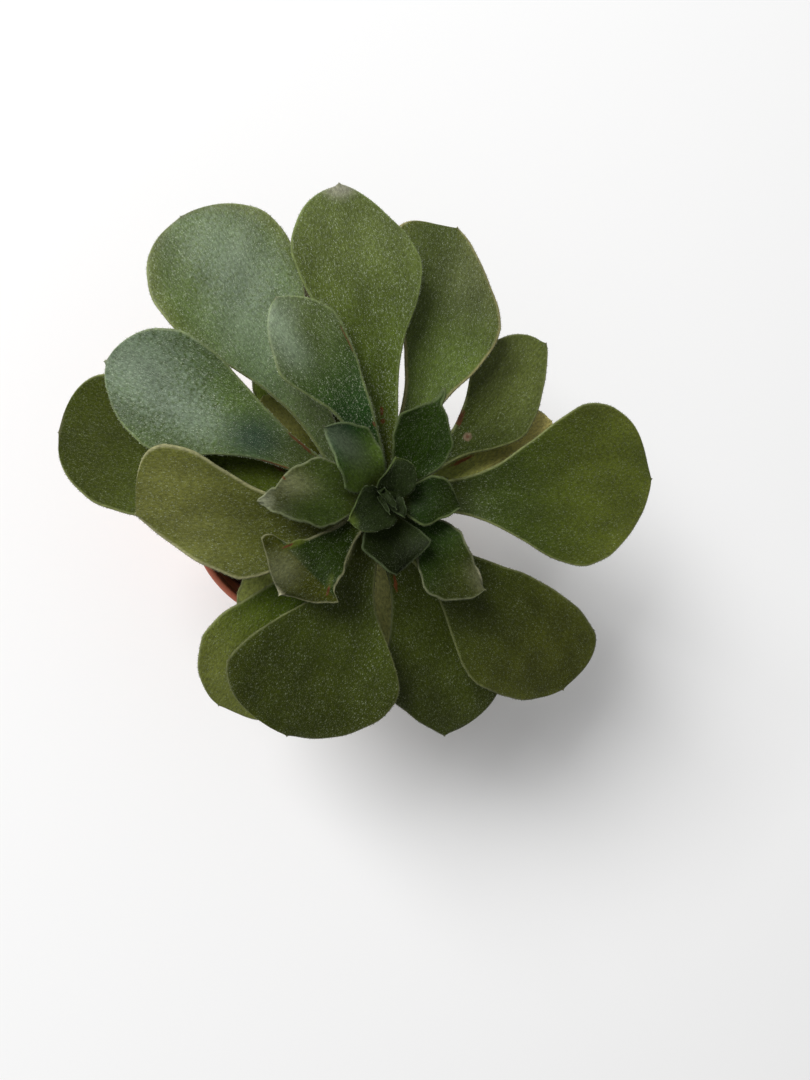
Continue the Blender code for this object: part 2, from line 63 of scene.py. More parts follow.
GROOVE_DEPTH = 0.0012
GROOVE_INNER = 0.0115
GROOVE_OUTER = 0.0215
DRAIN_COUNT = 6
DRAIN_RADIUS = 0.0026
DRAIN_RING = (GROOVE_INNER + GROOVE_OUTER) / 2 + 0.0004
DRAIN_SEGMENTS = 28
POT_SEGMENTS = 120
TERRACOTTA = (0.46, 0.125, 0.072)
TERRACOTTA_FADED = (0.54, 0.19, 0.11)
SOIL_SMEAR = (0.040, 0.022, 0.014)
LIME_SCALE = (0.62, 0.52, 0.45)


def smooth_step(x):
    """0 up to 0, 1 from 1 on, and a smooth rise between."""
    x = np.clip(x, 0.0, 1.0)
    return x * x * (3.0 - 2.0 * x)


def shaped(name, points, faces, finish, smooth_below=45):
    """An object from points and faces, shaded smooth across edges flatter than the angle."""
    mesh = bpy.data.meshes.new(name)
    mesh.from_pydata(np.asarray(points).tolist(), [], faces)
    mesh.materials.append(finish)
    mesh.shade_smooth()
    mesh.set_sharp_from_angle(angle=math.radians(smooth_below))
    made = bpy.data.objects.new(name, mesh)
    bpy.context.scene.collection.objects.link(made)
    return made


def settle(piece, node=None):
    """Puts a piece on the plant's one body, and hides the plain solid that it stands for."""
    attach(piece, "root")
    if node:
        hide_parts(node)


def closed_skin(rings, segments):
    """Faces from a first point, along rings of points, to a last point."""
    last = 1 + rings * segments
    faces = []
    for step in range(segments):
        after = (step + 1) % segments
        faces.append((0, 1 + after, 1 + step))
        for ring in range(rings - 1):
            low, high = 1 + ring * segments, 1 + (ring + 1) * segments
            faces.append((low + step, low + after, high + after, high + step))
        faces.append((last, last - segments + step, last - segments + after))
    return faces


def turned(profile, segments, relief=None):
    """Points and faces of a profile turned about Z, whose first and last points lie on the axis."""
    angles = 2.0 * math.pi * np.arange(segments) / segments
    points = [(0.0, 0.0, profile[0][1])]
    for radius, height in profile[1:-1]:
        for angle in angles:
            lift = relief(radius, angle, height) if relief else 0.0
            points.append((radius * math.cos(angle), radius * math.sin(angle), height + lift))
    points.append((0.0, 0.0, profile[-1][1]))
    return points, closed_skin(len(profile) - 2, segments)


def new_finish(name, roughness, specular):
    """A finish whose even values sit on the shader's own sockets."""
    made = bpy.data.materials.new(name)
    made.use_nodes = True
    shader = made.node_tree.nodes["Principled BSDF"]
    shader.inputs["Roughness"].default_value = roughness
    shader.inputs["Specular IOR Level"].default_value = specular
    return made, shader


def put(finish, kind, inputs, output=0, **settings):
    """Adds a shader node, with each input set to a value or joined to another node's output."""
    made = finish.node_tree.nodes.new("ShaderNode" + kind)
    for key, value in settings.items():
        setattr(made, key, value)
    for socket, value in inputs.items():
        if isinstance(value, bpy.types.NodeSocket):
            finish.node_tree.links.new(value, made.inputs[socket])
        else:
            made.inputs[socket].default_value = value
    return made.outputs[output]


def own_place(finish):
    """Each point's place, in metres from the piece's origin."""
    return put(finish, "TexCoord", {}, output=3)


def height_of(finish, where):
    """The upright part of a place."""
    return put(finish, "SeparateXYZ", {"Vector": where}, output=2)


def grain(finish, where, scale, detail=2.0, rough=0.55):
    """Cloudy noise from 0 to 1, at so many grains to the unit."""
    inputs = {"Vector": where, "Scale": scale, "Detail": detail, "Roughness": rough}
    return put(finish, "TexNoise", inputs)


def rise(finish, value, low, high, top=1.0):
    """0 below low, top above high, and a smooth rise between. It falls where low is above high."""
    inputs = {"Value": value, "From Min": low, "From Max": high, "To Min": 0.0, "To Max": top}
    return put(finish, "MapRange", inputs, interpolation_type="SMOOTHSTEP")


def times(finish, a, b):
    """One value multiplied by another."""
    return put(finish, "Math", {0: a, 1: b}, operation="MULTIPLY")


def plus(finish, a, b):
    """One value added to another."""
    return put(finish, "Math", {0: a, 1: b}, operation="ADD")


def mixed(finish, share, under, over, mode="MIX"):
    """One colour laid over another, by a share."""
    colours = [c if isinstance(c, bpy.types.NodeSocket) else (*c, 1.0) for c in (under, over)]
    inputs = {0: share, 6: colours[0], 7: colours[1]}
    return put(finish, "Mix", inputs, output=2, data_type="RGBA", blend_type=mode)


def stretch(finish, where, by):
    """A place multiplied along each axis, so that a pattern on it is drawn out or pressed together."""
    return put(finish, "VectorMath", {0: where, 1: by}, operation="MULTIPLY")


def raise_relief(finish, shader, height, distance, strength=1.0):
    """Fine relief, as deep as the distance where the height goes from 0 to 1."""
    inputs = {"Height": height, "Distance": distance, "Strength": strength}
    finish.node_tree.links.new(put(finish, "Bump", inputs), shader.inputs["Normal"])


def colour_shader(finish, shader, colour, roughness=None):
    """Joins a colour, and a roughness where it varies, to the shader."""
    finish.node_tree.links.new(colour, shader.inputs["Base Color"])
    if roughness:
        finish.node_tree.links.new(roughness, shader.inputs["Roughness"])


def pot_inner_radius(height):
    """Radius of the pot's inside wall at a height."""
    slope = (RIM_RADIUS - COLLAR_STEP - RIM_WIDTH - FOOT_RADIUS) / COLLAR_BASE
    return FOOT_RADIUS - WALL + slope * height


def arc(centre, radius, start, end, count):
    """Points of a rounding in the pot's profile."""
    turn = np.radians(np.linspace(start, end, count))
    return [(centre[0] + radius * math.cos(a), centre[1] + radius * math.sin(a)) for a in turn]


def pot_profile():
    """The pot's section: under the base and its groove, up the wall, over the lip and down inside."""
    wall_top = pot_inner_radius(COLLAR_BASE) + WALL
    inner_rim = RIM_RADIUS - RIM_WIDTH
    lip = RIM_WIDTH / 2
    profile = [(0.0, 0.0), (GROOVE_INNER - 0.0003, 0.0), (GROOVE_INNER, 0.0001)]
    profile += [(GROOVE_INNER + 0.0008, GROOVE_DEPTH - 0.0001), (GROOVE_INNER + 0.0010, GROOVE_DEPTH)]
    profile += [(GROOVE_OUTER - 0.0002, GROOVE_DEPTH), (GROOVE_OUTER, GROOVE_DEPTH - 0.0001)]
    profile += [(GROOVE_OUTER + 0.0008, 0.0001), (GROOVE_OUTER + 0.0010, 0.0)]
    profile += arc((FOOT_RADIUS - ROUNDING, ROUNDING), ROUNDING, -90, -10, 6)
    for row, share in enumerate(np.linspace(0.08, 0.96, WALL_ROWS)):
        radius = FOOT_RADIUS + (wall_top - FOOT_RADIUS) * share
        height = ROUNDING + (COLLAR_BASE - 0.0030) * share
        profile.append((radius, height))
        if row == WALL_ROWS // 2:
            profile += [(radius + 0.0004, height + 0.0006), (radius + 0.0005, height + 0.0012)]
    profile += [(wall_top - 0.0004, COLLAR_BASE - 0.0018), (wall_top + 0.0002, COLLAR_BASE - 0.0006)]
    collar_edge = (wall_top + COLLAR_STEP - FINE_ROUNDING, COLLAR_BASE + FINE_ROUNDING)
    profile += arc(collar_edge, FINE_ROUNDING, -90, 0, 5)
    profile += [(RIM_RADIUS - 0.0005, POT_HEIGHT - 0.0034), (RIM_RADIUS - 0.0001, POT_HEIGHT - 0.0024)]
    profile += arc((RIM_RADIUS - lip, POT_HEIGHT - lip), lip, -12, 180, 14)
    profile += [(inner_rim, POT_HEIGHT - 0.0018), (inner_rim - 0.0005, COLLAR_BASE + 0.0010)]
    profile += [(inner_rim - 0.0007, COLLAR_BASE + 0.0003)]
    profile += [(pot_inner_radius(COLLAR_BASE - 0.0020), COLLAR_BASE - 0.0020)]
    profile += [(pot_inner_radius(BASE_THICKNESS + ROUNDING), BASE_THICKNESS + ROUNDING)]
    profile += [(pot_inner_radius(BASE_THICKNESS) - ROUNDING, BASE_THICKNESS), (0.0, BASE_THICKNESS)]
    return profile


def inside_pot(finish, where, height):
    """1 on the pot's inside and 0 on its outside, told by which side of the wall's middle it is."""
    flat = stretch(finish, where, (1.0, 1.0, 0.0))
    radius = put(finish, "VectorMath", {0: flat}, output=1, operation="LENGTH")
    slope = (pot_inner_radius(COLLAR_BASE) - pot_inner_radius(0.0)) / COLLAR_BASE
    wall_middle = plus(finish, times(finish, height, slope), FOOT_RADIUS - WALL / 2)
    collar = rise(finish, height, COLLAR_BASE, COLLAR_BASE + 0.0002, 0.0018)
    wall_middle = plus(finish, wall_middle, collar)
    depth = put(finish, "Math", {0: wall_middle, 1: radius}, operation="SUBTRACT")
    return times(finish, rise(finish, depth, 0.0, 0.0003), rise(finish, height, 0.0014, 0.0022))


def pot_finish():
    """Dull moulded plastic: faded patches, flow lines, soil smeared inside and lime scale at the foot."""
    finish, shader = new_finish("pot_plastic", 0.42, specular=0.45)
    where = own_place(finish)
    height = height_of(finish, where)
    faded = rise(finish, grain(finish, where, 60.0, 3.0), 0.42, 0.68, 0.45)
    colour = mixed(finish, faded, TERRACOTTA, TERRACOTTA_FADED)
    speckle = rise(finish, grain(finish, where, 1600.0, 1.0), 0.60, 0.75, 0.25)
    colour = mixed(finish, speckle, colour, SOIL_SMEAR)
    smear = rise(finish, grain(finish, where, 340.0, 4.0), 0.36, 0.64, 0.65)
    low = rise(finish, height, POT_HEIGHT - 0.0015, POT_HEIGHT - 0.0070)
    smear = times(finish, times(finish, smear, inside_pot(finish, where, height)), low)
    colour = mixed(finish, smear, colour, SOIL_SMEAR)
    foot = rise(finish, height, 0.0075, 0.0010, 0.7)
    scale = times(finish, foot, rise(finish, grain(finish, where, 220.0, 4.0), 0.48, 0.62))
    colour = mixed(finish, scale, colour, LIME_SCALE)
    flow = grain(finish, stretch(finish, where, (40.0, 40.0, 1500.0)), 1.0, 2.0)
    pitting = grain(finish, where, 2600.0, 2.0)
    wear = rise(finish, grain(finish, where, 500.0, 3.0), 0.3, 0.7, 0.22)
    colour_shader(finish, shader, colour, plus(finish, wear, 0.36))
    raise_relief(finish, shader, plus(finish, times(finish, flow, 0.6), pitting), 0.00006, 0.6)
    return finish


def drain(piece):
    """Cuts the ring of drain holes through the pot's base, and applies each cut."""
    for number in range(DRAIN_COUNT):
        turn = 2.0 * math.pi * (number + 0.5) / DRAIN_COUNT
        place = (DRAIN_RING * math.cos(turn), DRAIN_RING * math.sin(turn), 0.0)
        bpy.ops.mesh.primitive_cylinder_add(
            vertices=DRAIN_SEGMENTS, radius=DRAIN_RADIUS, depth=4 * BASE_THICKNESS, location=place
        )
        cutter = bpy.context.object
        cut = piece.modifiers.new("drain", "BOOLEAN")
        cut.operation = "DIFFERENCE"
        cut.solver = "MANIFOLD"
        cut.object = cutter
        graph = bpy.context.evaluated_depsgraph_get()
        piece.data = bpy.data.meshes.new_from_object(piece.evaluated_get(graph))
        piece.modifiers.clear()
        bpy.data.objects.remove(cutter, do_unlink=True)


pot_points, pot_faces = turned(pot_profile(), POT_SEGMENTS)
pot = shaped("nursery_pot", pot_points, pot_faces, pot_finish(), smooth_below=38)
drain(pot)
settle(pot, "pot")

# Soil
# Peat-based potting soil, pressed in round the stem and watered until its top crusted. Loose crumbs,
# slivers of bark and pale grit lie on it.
SOIL_TOP = POT_HEIGHT - 0.0095
SOIL_RELIEF = 0.0011
CRUST_RELIEF = 0.00042
CRUST_GRAINS = 520.0
SOIL_EDGE = 0.003
SOIL_SEGMENTS = 144
SOIL_RINGS = 46
CLEARANCE = 0.0003
STEM_BURIED_TO = 0.036
STEM_FOOT_RADIUS = 0.0068
# The darker soil colour below is peat's own dark brown, with a red cast added as a painted reflection of
# light bounced off the pot's red wall.
PEAT = (0.034, 0.013, 0.009)
PEAT_DRY = (0.066, 0.030, 0.019)
BARK_CHIP = (0.105, 0.050, 0.024)
GRIT = (0.50, 0.47, 0.42)
PRESSED_IN = 0.25
CLEAR_OF_STEM = 0.0012
CLEAR_OF_WALL = 0.0016


def soil_height(radius, angle):
    """The soil's top, with low lumps that fade out round the stem, and a fine crumbled crust."""
    lumps = math.sin(5 * angle + 210 * radius) + math.sin(3 * angle - 420 * radius + 1.3)
    lumps += 0.8 * math.sin(8 * angle + 640 * radius)
    clear = smooth_step((radius - STEM_FOOT_RADIUS - 0.002) / 0.004)
    x, y = radius * math.cos(angle), radius * math.sin(angle)
    crumbs = noise.fractal(Vector((x, y, 0.0)) * CRUST_GRAINS, 0.8, 2.1, 4)
    return SOIL_TOP + SOIL_RELIEF * lumps / 2.8 * clear + CRUST_RELIEF * crumbs


def soil_body():
    """Points and faces of the soil: a crumbled top on a plain tapered plug."""
    bottom = BASE_THICKNESS + CLEARANCE
    hole = STEM_FOOT_RADIUS + CLEARANCE
    edge = pot_inner_radius(SOIL_TOP - SOIL_EDGE) - 2 * CLEARANCE
    top = [(edge + (hole - edge) * share, SOIL_TOP) for share in np.linspace(0.0, 1.0, SOIL_RINGS)]
    profile = [(0.0, bottom), (pot_inner_radius(bottom) - 0.0022, bottom)]
    profile += [(pot_inner_radius(bottom + 0.002) - 2 * CLEARANCE, bottom + 0.002)]
    profile += [(edge, SOIL_TOP - SOIL_EDGE)]
    profile += [*top, (hole, STEM_BURIED_TO - CLEARANCE), (0.0, STEM_BURIED_TO - CLEARANCE)]
    return turned(profile, SOIL_SEGMENTS, lambda r, a, h: soil_height(r, a) - h if h == SOIL_TOP else 0.0)


def soil_finish():
    """Dark peat, paler where its crust has dried, with flecks of bark."""
    finish, shader = new_finish("potting_soil", 0.95, specular=0.25)
    where = own_place(finish)
    dry = rise(finish, grain(finish, where, 260.0, 5.0, 0.65), 0.45, 0.70)
    colour = mixed(finish, dry, PEAT, PEAT_DRY)
    specks = rise(finish, grain(finish, where, 1500.0, 2.0), 0.66, 0.72, 0.8)
    colour = mixed(finish, specks, colour, BARK_CHIP)
    colour_shader(finish, shader, colour)
    raise_relief(finish, shader, grain(finish, where, 1400.0, 6.0, 0.7), 0.0004)
    return finish


def crumb_finish(name, dark, light, scale):
    """Dull crumbs, each somewhere between two colours."""
    finish, shader = new_finish(name, 0.9, specular=0.3)
    where = own_place(finish)
    colour = mixed(finish, rise(finish, grain(finish, where, scale, 4.0), 0.36, 0.66), dark, light)
    colour_shader(finish, shader, colour)
    raise_relief(finish, shader, grain(finish, where, 2400.0, 4.0), 0.0002)
    return finish


def ball(rings=4, sides=6):
    """Points and faces of a small round stone before it is roughened."""
    profile = [(math.sin(math.pi * k / rings), -math.cos(math.pi * k / rings)) for k in range(rings + 1)]
    points, faces = turned(profile, sides)
    return np.array(points), faces


def tumbled(lump, lean, turn):
    """A lump leaned over about Y, then turned about Z."""
    up, over = math.cos(lean), math.sin(lean)
    along, aside = math.cos(turn), math.sin(turn)
    lump = lump @ np.array([[up, 0, over], [0, 1, 0], [-over, 0, up]])
    return lump @ np.array([[along, aside, 0], [-aside, along, 0], [0, 0, 1]])


def scatter(name, count, sizes, flatness, finish, seed):
    """Roughened lumps strewn over the soil's top, each a little pressed in."""
    rng = np.random.default_rng(seed)
    shape, shape_faces = ball()
    points, faces = [], []
    inner = STEM_FOOT_RADIUS + CLEAR_OF_STEM
    outer = pot_inner_radius(SOIL_TOP) - CLEAR_OF_WALL
    for number in range(count):
        radius = math.sqrt(rng.uniform(inner**2, outer**2))
        angle = rng.uniform(0.0, 2.0 * math.pi)
        size = rng.uniform(*sizes) * np.array([1.0, rng.uniform(0.55, 0.95), rng.uniform(*flatness)])
        rough = 1.0 + rng.normal(0.0, 0.16, (len(shape), 1))
        turn, lean = rng.uniform(0.0, 2.0 * math.pi), rng.normal(0.0, 0.35)
        lump = tumbled(shape * rough * size, lean, turn)
        lift = soil_height(radius, angle) + size[2] * (1.0 - 2.0 * PRESSED_IN)
        lump += (radius * math.cos(angle), radius * math.sin(angle), lift)
        faces += [tuple(number * len(shape) + i for i in face) for face in shape_faces]
        points.append(lump)
    piece = shaped(name, np.concatenate(points), faces, finish, smooth_below=30)
    settle(piece)


soil = shaped("soil_plug", *soil_body(), soil_finish(), smooth_below=60)
settle(soil, "soil")
peat_crumb = crumb_finish("peat_crumb", PEAT, PEAT_DRY, 700.0)
bark_chip = crumb_finish("bark_chip", PEAT_DRY, BARK_CHIP, 500.0)
grit = crumb_finish("grit", PEAT_DRY, GRIT, 900.0)
scatter("soil_crumbs", 900, (0.0004, 0.0012), (0.5, 0.9), peat_crumb, 11)
scatter("bark_chips", 110, (0.0010, 0.0026), (0.12, 0.30), bark_chip, 12)
scatter("pale_grit", 130, (0.0005, 0.0012), (0.6, 0.9), grit, 13)

# Stem
# The plant's one short woody stalk. It is young bark, ringed by the scars of leaves that have dropped,
# and it leans so that the rosette hangs out past the pot's right side.
ROSETTE_AXIS = (0.0170, 0.0024)
STEM_BEND_TOP = 0.108
STEM_TOP = 0.1205
STEM_RADIUS = 0.0062
STEM_TIP_RADIUS = 0.0034
STEM_NARROWS_FROM = 0.106
STEM_SEGMENTS = 72
STEM_ROWS = 170
LOWEST_LEAF = 0.0814
BARK_BROWN = (0.150, 0.100, 0.055)
BARK_GREEN = (0.120, 0.135, 0.050)
SCAR_BROWN = (0.055, 0.030, 0.018)
CORK_PALE = (0.33, 0.27, 0.19)
SCAR_RING = 0.00045
SCAR_RING_PITCH = 0.0065
FINE_RING = 0.00020
FINE_RING_PITCH = 0.0032
BARK_ROUGH = 0.00014
BARK_SUNK = 0.0001
BURIED_END = 0.6


def stem_axis(height):
    """Centre of the stem at each height: upright in the soil, leaning over, upright in the rosette."""
    height = np.asarray(height, float)
    share = smooth_step((height - SOIL_TOP - 0.001) / (STEM_BEND_TOP - SOIL_TOP - 0.001))
    return np.stack([ROSETTE_AXIS[0] * share, ROSETTE_AXIS[1] * share, height], axis=-1)


def stem_radius(height):
    """Radius of the stem at each height, narrowing to the growing tip."""
    foot = smooth_step((height - SOIL_TOP) / 0.02)
    radius = STEM_FOOT_RADIUS + (STEM_RADIUS - STEM_FOOT_RADIUS) * foot
    narrow = smooth_step((height - STEM_NARROWS_FROM) / (STEM_TOP - STEM_NARROWS_FROM))
    return radius + (STEM_TIP_RADIUS - radius) * narrow


def bark_roughness(height, angles):
    """The bark's fine lumps round the stem at one height."""
    around = [Vector((math.cos(a), math.sin(a), height * 200.0)) * 3.0 for a in angles]
    return np.array([noise.fractal(place, 0.8, 2.0, 3) for place in around])


def stem_mesh():
    """Points and faces of the stem, with a spiral of leaf scars and rough bark below the rosette."""
    shown = np.linspace(SOIL_TOP - 0.004, STEM_TOP, STEM_ROWS - 2)
    heights = [STEM_BURIED_TO, STEM_BURIED_TO + 0.004, *shown]
    angles = 2.0 * math.pi * np.arange(STEM_SEGMENTS) / STEM_SEGMENTS
    out = np.stack([np.cos(angles), np.sin(angles), np.zeros_like(angles)], axis=1)
    points = [stem_axis(heights[0])]
    for height in heights:
        bare = smooth_step((height - SOIL_TOP - 0.002) / 0.003)
        bare *= 1.0 - smooth_step((height - LOWEST_LEAF + 0.002) / 0.003)
        ring = SCAR_RING * np.sin(2 * math.pi * height / SCAR_RING_PITCH + 2 * angles)
        ring += FINE_RING * np.abs(np.sin(2 * math.pi * height / FINE_RING_PITCH - 3 * angles)) ** 0.5
        bark = ring + BARK_ROUGH * bark_roughness(height, angles) - BARK_SUNK
        radius = stem_radius(height) + bare * bark
        radius = radius * BURIED_END if height == STEM_BURIED_TO else radius
        points.extend(stem_axis(height) + out * radius[:, None])
    points.append(stem_axis(STEM_TOP))
    return points, closed_skin(STEM_ROWS, STEM_SEGMENTS)


def bark_finish():
    """Brown bark ringed by dark scars, greener towards the rosette, with flecks of pale cork."""
    finish, shader = new_finish("stem_bark", 0.85, specular=0.3)
    where = own_place(finish)
    height = height_of(finish, where)
    green = rise(finish, height, LOWEST_LEAF - 0.012, LOWEST_LEAF + 0.012)
    colour = mixed(finish, green, BARK_BROWN, BARK_GREEN)
    rings = grain(finish, stretch(finish, where, (150.0, 150.0, 700.0)), 1.0, 4.0, 0.65)
    colour = mixed(finish, rise(finish, rings, 0.48, 0.66, 0.85), colour, SCAR_BROWN)
    cork = rise(finish, grain(finish, where, 900.0, 2.0), 0.62, 0.72, 0.5)
    colour = mixed(finish, cork, colour, CORK_PALE)
    colour_shader(finish, shader, colour)
    raise_relief(finish, shader, plus(finish, rings, grain(finish, where, 1800.0, 3.0)), 0.0003)
    return finish


stem = shaped("woody_stem", *stem_mesh(), bark_finish(), smooth_below=70)
settle(stem, "stem")

# Inner ring of leaves
# Seven young leaves round the growing tip, fleshy and rigid with water, grown from the stem in a
# rising spiral. White down covers both faces and stands as a fringe along each margin.

# Rows of points below and above a leaf's widest place: the fewest, and how many more for each metre.
ROWS_BELOW_BELLY = (12, 400)
ROWS_ABOVE_BELLY = (12, 240)

# Columns across each face and turns of the rounded margin. ROOT_WRAP is the share of the length in
# which the root takes on the stem's curve, MARGIN_SHARE the margin's share of the leaf's thickness
# and HANDLE how far along the chord the midrib holds its direction at either end.
LEAF_COLUMNS = 23
RIM_STEPS = (45, 90, 135)
ROOT_WRAP = 0.16
MARGIN_SHARE = 0.5
MIDRIB_SAMPLES = 80
HANDLE = 0.36
MIDRIB_GROOVE = 0.00016
MIDRIB_GROOVE_MM = 1.3

# An end that is folded down: how round the fold is, over what share of the length the blade widens
# at it, and how far along the fold bows out at the margins.
FOLD_ROUND = 0.0016
FLARE_LENGTH = 0.05
FOLD_BOW = 0.065

# The blade's own unevenness: shallow ripples and pleats, and small bends of the margin. Leaves up to
# YOUNG_LENGTH long also have a crinkled margin, which is gone where they are longer by YOUNG_FADE.
MARGIN_WAVES = 1.6
FLUTTER = 0.00010
FLUTTER_WAVES_MM = (31.0, 19.0, 11.0)
PLEAT = 0.00004
PLEAT_COUNT = 2.6
MARGIN_WANDER = 0.00015
WANDER_WAVES_MM = (21.0, 11.0)
MARGIN_CRINKLE = 0.00024
CRINKLE_WAVES_MM = (6.4, 3.7)
YOUNG_LENGTH = 0.040
YOUNG_FADE = 0.015

# Hairs for each square millimetre of the upper and lower face, how they lie along the leaf, stand
# out from it and stray, and how the fringe along the margin differs.
DOWN_UPPER = 3.6
DOWN_UNDER = 0.5
HAIR_LENGTH = 0.00040
HAIR_WIDTH = 0.000080
HAIR_SUNK = 0.00005
HAIR_LIES = 0.75
HAIR_STANDS = 0.66
HAIR_STRAYS = 0.14
FRINGE_SPACING = 0.00034
FRINGE_LONGER = 1.35
FRINGE_THICKER = 1.5
FRINGE_LIES = 0.3
FRINGE_TILT = (0.25, 0.45)

# One leaf's shape. root is the height and heading at which it leaves the stem. tip is the heading and
# reach from the rosette's axis, and the height. slope is its rise at the root and at the tip. left and
# right are the sides of the midrib seen from the stem, each with its widest half, how far along that
# is, how blunt the side is from there to the tip, and how pinched it is towards the root. aim is the
# heading at the tip of a leaf that bends sideways. cup is how far the margins turn up at root, belly
# and tip, roll how far the blade is turned about its midrib, hook how far its end turns down and wave
# how high its margins ripple. neck is half the width of its root, and thick how thick it is at the
# root and from the middle on. point is the share of its length taken by the tip's point, and cusp the
# point's half-width. fold is for an end that is folded down: the share of its length at the fold, how
# steep the end is and how much wider. core is the radius of a bud leaf's own root.
Leaf = namedtuple(
    "Leaf",
    "name root tip slope left right aim cup roll hook wave neck thick point cusp fold core",
    defaults=(None, (30, 14, 8), 0, 0.0, 0.0005, 0.0040, (0.0026, 0.0019), 0.010, 0.0090, None, None),
)
SMALL = {
    "cup": (30, 22, 10), "wave": 0.0009, "neck": 0.0031, "thick": (0.0020, 0.0016),
    "point": 0.02, "cusp": 0.0030,
}
POINTED = {**SMALL, "point": 0.14, "cusp": 0.0036}
BEAKED = {**SMALL, "point": 0.18, "cusp": 0.0075, "hook": 0.003}
FOLDED_OVER = {**SMALL, "point": 0.01, "fold": (0.70, 0.80, 0.55)}

INNER_LEAVES = [
    Leaf("leaf_01", (0.1188, -8), (-7, 0.0231, 0.1240), (42, -5),
         (0.0088, 0.58, 1.4, 1.8), (0.0070, 0.48, 1.1, 2.6), **SMALL),
    Leaf("leaf_02", (0.1172, 118), (135, 0.0278, 0.1290), (58, 5),
         (0.0096, 0.40, 1.15, 1.5), (0.0080, 0.62, 1.5, 1.8), **SMALL),
    Leaf("leaf_03", (0.1168, -85), (-82, 0.0232, 0.1220), (40, -8),
         (0.0116, 0.62, 1.15, 1.8), (0.0095, 0.53, 1.15, 1.8), **SMALL),
    Leaf("leaf_04", (0.1142, 52), (63, 0.0362, 0.1275), (52, 5),
         (0.0102, 0.62, 1.25, 2.6), (0.0098, 0.56, 1.3, 2.0), **POINTED),
    Leaf("leaf_05", (0.1138, 180), (-178, 0.0384, 0.1210), (45, -22),
         (0.0088, 0.50, 1.6, 2.0), (0.0122, 0.50, 1.8, 2.2), **BEAKED),
    Leaf("leaf_06", (0.1108, -45), (-41, 0.0426, 0.1200), (38, 2),
         (0.0094, 0.50, 1.1, 2.2), (0.0126, 0.65, 1.6, 6.0), **SMALL),
    Leaf("leaf_07", (0.1112, -136), (-136, 0.0446, 0.1185), (36, -14),
         (0.0088, 0.66, 1.0, 4.0), (0.0110, 0.74, 1.0, 4.0), **FOLDED_OVER),
]

ROOT_PALE = (0.060, 0.070, 0.008)
EDGE_PALE = (0.170, 0.190, 0.070)
UNDER_GREEN = (0.085, 0.115, 0.035)

# One leaf's colouring. near and far are the blade's greens at the middle and towards the end. speck
# is how thickly the down's roots show, edge the margin's colour, warm how far its end yellows, gloss
# how much of the light its skin throws back, and marks its patches, among them painted highlights and
# painted shade, and its wounds. under is the green of its lower face, rim how wide its pale margin is,
# in mm, turn the shares of its length between which near gives way to far, and root its colour at the
# stem.
Look = namedtuple(
    "Look", "near far speck edge warm gloss marks under rim turn root",
    defaults=(0.5, EDGE_PALE, 0.0, 0.12, (), UNDER_GREEN, 1.1, (0.35, 0.85), ROOT_PALE),
)
# A patch on a leaf, in mm along and across it: its half-length, half-width and lean in degrees, its
# colour and share, how soft its edge is and how ragged. Besides the leaf's own colour patches and
# wounds, some patches are painted highlights and painted shade.
Mark = namedtuple("Mark", "along across long wide lean colour share soft rough", defaults=(0.7, 0.7, 0.5))
WARM_END = (0.105, 0.120, 0.016)
APEX_PALE = (0.150, 0.145, 0.080)
DOWN_WHITE = (0.400, 0.450, 0.320)
# A pale grey-green that is partly white down and partly painted sheen, where the hairs on a turned-down end
# catch the light.
HOARY_AND_SHEEN = (0.185, 0.195, 0.095)
LIME = (0.060, 0.080, 0.010)
SCAR_RED = (0.100, 0.031, 0.008)
SCAR_BROWN_RED = (0.075, 0.024, 0.009)
LEAF_ROUGHNESS = 0.50

